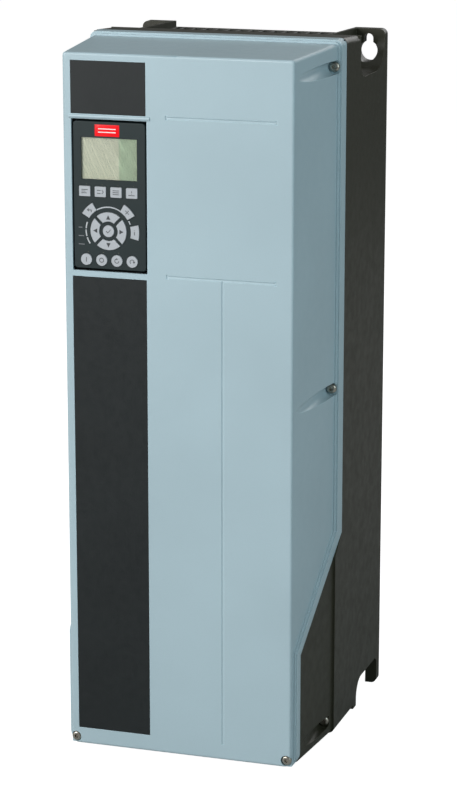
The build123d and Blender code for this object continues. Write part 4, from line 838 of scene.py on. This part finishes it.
class DRIVE_OT_dress_keys(bpy.types.Operator):
    """Finish the sixteen keys and print a plain mark on each"""

    bl_idname = "drive.dress_keys"
    bl_label = "Keys"

    def execute(self, context):
        colours = context.scene.drive_colours
        height = context.scene.drive_sizes.print_height
        paint_nodes(soft_key_rubber("key_soft_rubber", colours.keys), *KEYS)
        ink = printed_ink("key_dark_ink", colours.legend, 0.55)
        for key in KEYS:
            low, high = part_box(key)
            middle = Vector(((low.x + high.x) / 2, low.y + 0.02 * MM, (low.z + high.z) / 2))
            shape = bmesh.new()
            if key in ARROWS:
                self.print_arrow(shape, middle, ARROWS[key], height)
            else:
                for line in LEGENDS[key]:
                    points = [(x * MM, z * MM) for x, z in line]
                    ribbon(shape, points, middle, LEGEND_LINE, height, closed=key in CLOSED_LEGENDS)
            make_piece(key.replace("key_", "legend_", 1), shape, ink, key)
        return {"FINISHED"}

    def print_arrow(self, shape, middle, heading, height):
        """A filled triangle that points along heading, in degrees."""
        corners = [radians(heading + turn) for turn in (0, 125, 235)]
        flat = [(ARROW_REACH * cos(angle), ARROW_REACH * sin(angle)) for angle in corners]
        back = [shape.verts.new(middle + Vector((x, 0, z))) for x, z in flat]
        front = [shape.verts.new(middle + Vector((x, -height, z))) for x, z in flat]
        skin(shape, back, front)
        shape.faces.new(back)
        shape.faces.new(front)


# ---------------------------------------------------------------- air path
BLADES = 7
BLADE_ROWS, BLADE_COLUMNS = 9, 7
BLADE_ROOT = 0.96
BLADE_SWEEP = 16
BLADE_WIDTH, BLADE_TAPER = 40, 12
CHANNEL_HUB_R, INNER_HUB_R = 15.0 * MM, 11.0 * MM


def rotor(shape, low, high, hub_radius):
    """An axial fan rotor that fills its box: a domed hub and swept, twisted blades."""
    centre = Vector(((low.x + high.x) / 2, (low.y + high.y) / 2, low.z))
    tip = (high.x - low.x) / 2
    height = high.z - low.z
    hub = [
        (height - 3 * MM, 0, 0),
        (height - 3 * MM, hub_radius * 0.5, 0),
        (height - 1.2 * MM, hub_radius * 0.56, 0),
        (height, hub_radius * 0.66, 0),
        (height, hub_radius * 0.86, 0),
        (height - 1.0 * MM, hub_radius, 0),
        (0.6 * MM, hub_radius, 0),
        (0, hub_radius - 0.6 * MM, 0),
        (0, hub_radius * 0.4, 0),
        (height - 5 * MM, hub_radius * 0.36, 0),
        (height - 5 * MM, 0, 0),
    ]
    turned(shape, hub, centre, UPWARD)
    across, chord = BLADE_ROWS, BLADE_COLUMNS
    root = hub_radius * BLADE_ROOT
    for blade in range(BLADES):
        start = 2 * pi * blade / BLADES
        faces = {}
        for side in (-1, 1):
            for i in range(across + 1):
                share = i / across
                radius = root + (tip - root) * share
                sweep = radians(BLADE_SWEEP) * share
                wide = radians(BLADE_WIDTH - BLADE_TAPER * share)
                for j in range(chord + 1):
                    along = j / chord - 0.5
                    angle = start + sweep + wide * along
                    thick = 0.75 * MM * (1 - (2 * along) ** 4 * 0.6)
                    camber = 1.6 * MM * (1 - (2 * along) ** 2)
                    z = height * (0.5 + 0.78 * along * (1 - 0.25 * share)) - camber + side * thick
                    point = Vector((radius * cos(angle), radius * sin(angle), min(max(z, 0.2 * MM), height)))
                    faces[side, i, j] = shape.verts.new(centre + point)
        for side in (-1, 1):
            for i in range(across):
                for j in range(chord):
                    shape.faces.new([faces[side, i, j], faces[side, i + 1, j], faces[side, i + 1, j + 1],
                                     faces[side, i, j + 1]])
        rim = [(i, 0) for i in range(across)] + [(across, j) for j in range(chord)]
        rim += [(i, chord) for i in range(across, 0, -1)] + [(0, j) for j in range(chord, 0, -1)]
        for here, ahead in zip(rim, rim[1:] + rim[:1]):
            shape.faces.new([faces[-1, *here], faces[-1, *ahead], faces[1, *ahead], faces[1, *here]])


class DRIVE_OT_dress_air_path(bpy.types.Operator):
    """Finish the heat sink, grille, guard and fan frames, and fit the three rotors"""

    bl_idname = "drive.dress_air_path"
    bl_label = "Air path"

    def execute(self, context):
        paint_nodes(drawn_metal("sink_extruded_aluminium", (0.56, 0.57, 0.58), (1, 1, 0.01), 0.42), "heat_sink")
        black = moulded_plastic("fan_glass_filled_plastic", (0.018, 0.019, 0.020), 0.6 * MM, 0.48, flecks=0.35)
        paint_nodes(black, "channel_fan_frames", "inner_fan_frame")
        grille = moulded_plastic("grille_moulded_plastic", (0.045, 0.045, 0.038), 0.5 * MM, 0.52)
        paint_nodes(grille, "top_air_grille")
        paint_nodes(zinc_plate("guard_zinc_plate", (0.58, 0.59, 0.60), 5 * MM), "fan_guard")
        blades = moulded_plastic("rotor_moulded_plastic", (0.024, 0.025, 0.027), 0.7 * MM, 0.4, flecks=0.2)
        rotors = (
            ("channel_rotor_left", "fan_left", CHANNEL_HUB_R),
            ("channel_rotor_right", "fan_right", CHANNEL_HUB_R),
            ("inner_rotor", "fan_inner", INNER_HUB_R),
        )
        for name, body, hub_radius in rotors:
            shape = bmesh.new()
            rotor(shape, *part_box(name), hub_radius)
            make_piece(name.replace("rotor", "fan_wheel"), shape, blades, body, [name])
        return {"FINISHED"}


# ---------------------------------------------------------------- cable entry, power and control sections
class DRIVE_OT_dress_cable_entry(bpy.types.Operator):
    """Finish the gland plate, its plugs, the earth rail and the cable clamps"""

    bl_idname = "drive.dress_cable_entry"
    bl_label = "Cable entry"

    def execute(self, context):
        paint_nodes(zinc_plate("sheet_zinc_plate", (0.60, 0.61, 0.60), 7 * MM), "gland_plate", "earth_rail")
        paint_nodes(zinc_plate("clamp_zinc_plate", (0.55, 0.55, 0.52), 3 * MM), "cable_clamps")
        paint_nodes(moulded_plastic("plug_nylon", (0.022, 0.022, 0.023), 0.4 * MM, 0.42), "blanking_plugs")
        return {"FINISHED"}


class DRIVE_OT_dress_power_section(bpy.types.Operator):
    """Finish the power card, modules, capacitors, chokes, busbars and terminals"""

    bl_idname = "drive.dress_power_section"
    bl_label = "Power section"

    def execute(self, context):
        board = solder_mask("power_board_mask", context.scene.drive_colours.board)
        paint_nodes(board, "power_card", "filter_card")
        paint_nodes(zinc_plate("spacer_zinc", (0.60, 0.58, 0.50), 2 * MM), "power_card_spacers")
        sleeve = sleeve_plastic("capacitor_sleeve_film", (0.020, 0.030, 0.055), (0.45, 0.47, 0.48))
        paint_nodes(sleeve, "dc_capacitors")
        module = moulded_plastic("module_epoxy", (0.028, 0.028, 0.030), 0.35 * MM, 0.38)
        paint_nodes(module, "rectifier_module", "inverter_module", "current_sensors")
        paint_nodes(wound_choke("choke_core", (0.13, 0.10, 0.08)), "dc_chokes")
        paint_nodes(drawn_metal("busbar_tinned_copper", (0.60, 0.36, 0.22), (1, 1, 0.02), 0.34), "busbars")
        grey = moulded_plastic("terminal_moulded_grey", (0.11, 0.12, 0.12), 0.4 * MM, 0.46)
        paint_nodes(grey, "mains_terminals", "motor_terminals")
        paint_nodes(clear_pane("shield_polycarbonate", (0.70, 0.76, 0.78), 0.20, 0.12), "touch_shield")
        return {"FINISHED"}


class DRIVE_OT_dress_control_section(bpy.types.Operator):
    """Finish the cassette, control card, its terminals, the panel's cradle and its board"""

    bl_idname = "drive.dress_control_section"
    bl_label = "Control section"

    def execute(self, context):
        black = moulded_plastic("cassette_moulded_plastic", (0.026, 0.027, 0.028), 0.7 * MM, 0.5, flecks=0.25)
        paint_nodes(black, "control_cassette", "panel_cradle")
        board = solder_mask("control_board_mask", context.scene.drive_colours.board)
        paint_nodes(board, "control_card", "panel_board")
        green = moulded_plastic("control_terminal_plastic", (0.03, 0.16, 0.07), 0.4 * MM, 0.44)
        paint_nodes(green, "control_terminals")
        return {"FINISHED"}


# ---------------------------------------------------------------- studio
WHITE = (1, 1, 1)
# name, the setting that holds its power, size, place, tint
LIGHTS = (
    ("key_light", "key_power", 1.6, (-1.5, -2.3, 1.35), WHITE),
    ("fill_light", "fill_power", 1.4, (1.75, -0.95, 1.1), (0.78, 0.95, 1.0)),
    ("top_light", "top_power", 1.8, (0.2, -0.2, 2.4), WHITE),
    ("back_light", "back_power", 1.6, (0.5, 2.2, 1.5), WHITE),
)
FLOOR_R = 9.0
FLOOR_GREY = (0.45, 0.45, 0.45)
FLOOR_GLOW = 0.94


def area_light(name, power, size, spot, target, tint):
    """A soft square light that looks at a point."""
    lamp = bpy.data.lights.new(name, "AREA")
    lamp.energy = power
    lamp.size = size
    lamp.color = tint
    holder = bpy.data.objects.new(name, lamp)
    holder.location = spot
    holder.rotation_euler = (Vector(target) - Vector(spot)).to_track_quat("-Z", "Y").to_euler()
    bpy.context.scene.collection.objects.link(holder)


class DRIVE_OT_build_stage(bpy.types.Operator):
    """Set up the camera, the pale floor, the white surround and the soft lights"""

    bl_idname = "drive.build_stage"
    bl_label = "Stage"

    def execute(self, context):
        studio = context.scene.drive_studio
        self.add_camera(context.scene, studio)
        self.add_floor()
        self.add_surround(context.scene, studio)
        middle = (CAD_BOX[0] + CAD_BOX[1]) / 2
        for name, power, size, spot, tint in LIGHTS:
            area_light(name, getattr(studio, power), size, spot, middle, tint)
        context.scene.view_settings.view_transform = "Standard"
        return {"FINISHED"}

    def add_camera(self, scene, studio):
        camera = bpy.data.cameras.new("studio_camera")
        camera.lens = studio.lens
        camera.clip_start = 0.05
        holder = bpy.data.objects.new("studio_camera", camera)
        holder.location = studio.eye
        holder.rotation_euler = (radians(90) - studio.tilt, 0.0, studio.turn)
        scene.collection.objects.link(holder)
        scene.camera = holder

    def add_floor(self):
        """A large round pale floor under the lower ears."""
        shape = bmesh.new()
        bmesh.ops.create_circle(shape, cap_ends=True, segments=96, radius=FLOOR_R)
        mesh = bpy.data.meshes.new("studio_floor")
        shape.to_mesh(mesh)
        shape.free()
        floor = bpy.data.objects.new("studio_floor", mesh)
        floor.location.z = CAD_BOX[0].z
        material, tree, shader = new_finish(
            "floor_pale_matt", Specular_IOR_Level=0.1, Emission_Color=(1, 1, 1, 1)
        )
        seen = node(tree, "LightPath", {}).outputs["Is Camera Ray"]
        wire(
            tree, shader, Base_Color=tone(tree, FLOOR_GREY, 0.4, 0.005),
            Roughness=span(tree, grain(tree, 0.02), 0.8, 0.9),
            Emission_Strength=span(tree, seen, 0.0, FLOOR_GLOW),
        )
        mesh.materials.append(material)
        bpy.context.scene.collection.objects.link(floor)

    def add_surround(self, scene, studio):
        """White all round: full white as a backdrop, softer as a light."""
        world = bpy.data.worlds.new("studio_surround")
        world.use_nodes = True
        tree = world.node_tree
        backdrop = tree.nodes["Background"]
        backdrop.inputs["Color"].default_value = (1, 1, 1, 1)
        seen = node(tree, "LightPath", {}).outputs["Is Camera Ray"]
        tree.links.new(span(tree, seen, studio.surround, 1.0), backdrop.inputs["Strength"])
        scene.world = world


# ---------------------------------------------------------------- panel, registration and running
GROUPS = (DriveColours, DriveSizes, DriveStudio)
STEPS = (
    DRIVE_OT_build_stage,
    DRIVE_OT_paint_castings,
    DRIVE_OT_fit_screws,
    DRIVE_OT_dress_panel,
    DRIVE_OT_dress_keys,
    DRIVE_OT_dress_air_path,
    DRIVE_OT_dress_cable_entry,
    DRIVE_OT_dress_power_section,
    DRIVE_OT_dress_control_section,
)


class DRIVE_PT_sidebar(bpy.types.Panel):
    """Lists the drive's settings and the steps that build it"""

    bl_idname = "DRIVE_PT_sidebar"
    bl_label = "Variable Frequency Drive"
    bl_space_type = "VIEW_3D"
    bl_region_type = "UI"
    bl_category = "Drive"

    def draw(self, context):
        for group in (context.scene.drive_colours, context.scene.drive_sizes, context.scene.drive_studio):
            box = self.layout.box()
            for name in group.__annotations__:
                box.prop(group, name)
        for step in STEPS:
            self.layout.operator(step.bl_idname)


CLASSES = GROUPS + STEPS + (DRIVE_PT_sidebar,)


def register():
    for listed in CLASSES:
        bpy.utils.register_class(listed)
    bpy.types.Scene.drive_colours = bpy.props.PointerProperty(type=DriveColours)
    bpy.types.Scene.drive_sizes = bpy.props.PointerProperty(type=DriveSizes)
    bpy.types.Scene.drive_studio = bpy.props.PointerProperty(type=DriveStudio)


def unregister():
    del bpy.types.Scene.drive_studio
    del bpy.types.Scene.drive_sizes
    del bpy.types.Scene.drive_colours
    for listed in reversed(CLASSES):
        bpy.utils.unregister_class(listed)


def main():
    register()
    for step in STEPS:
        group, name = step.bl_idname.split(".")
        getattr(getattr(bpy.ops, group), name)()
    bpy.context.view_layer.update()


if __name__ == "__main__":
    main()
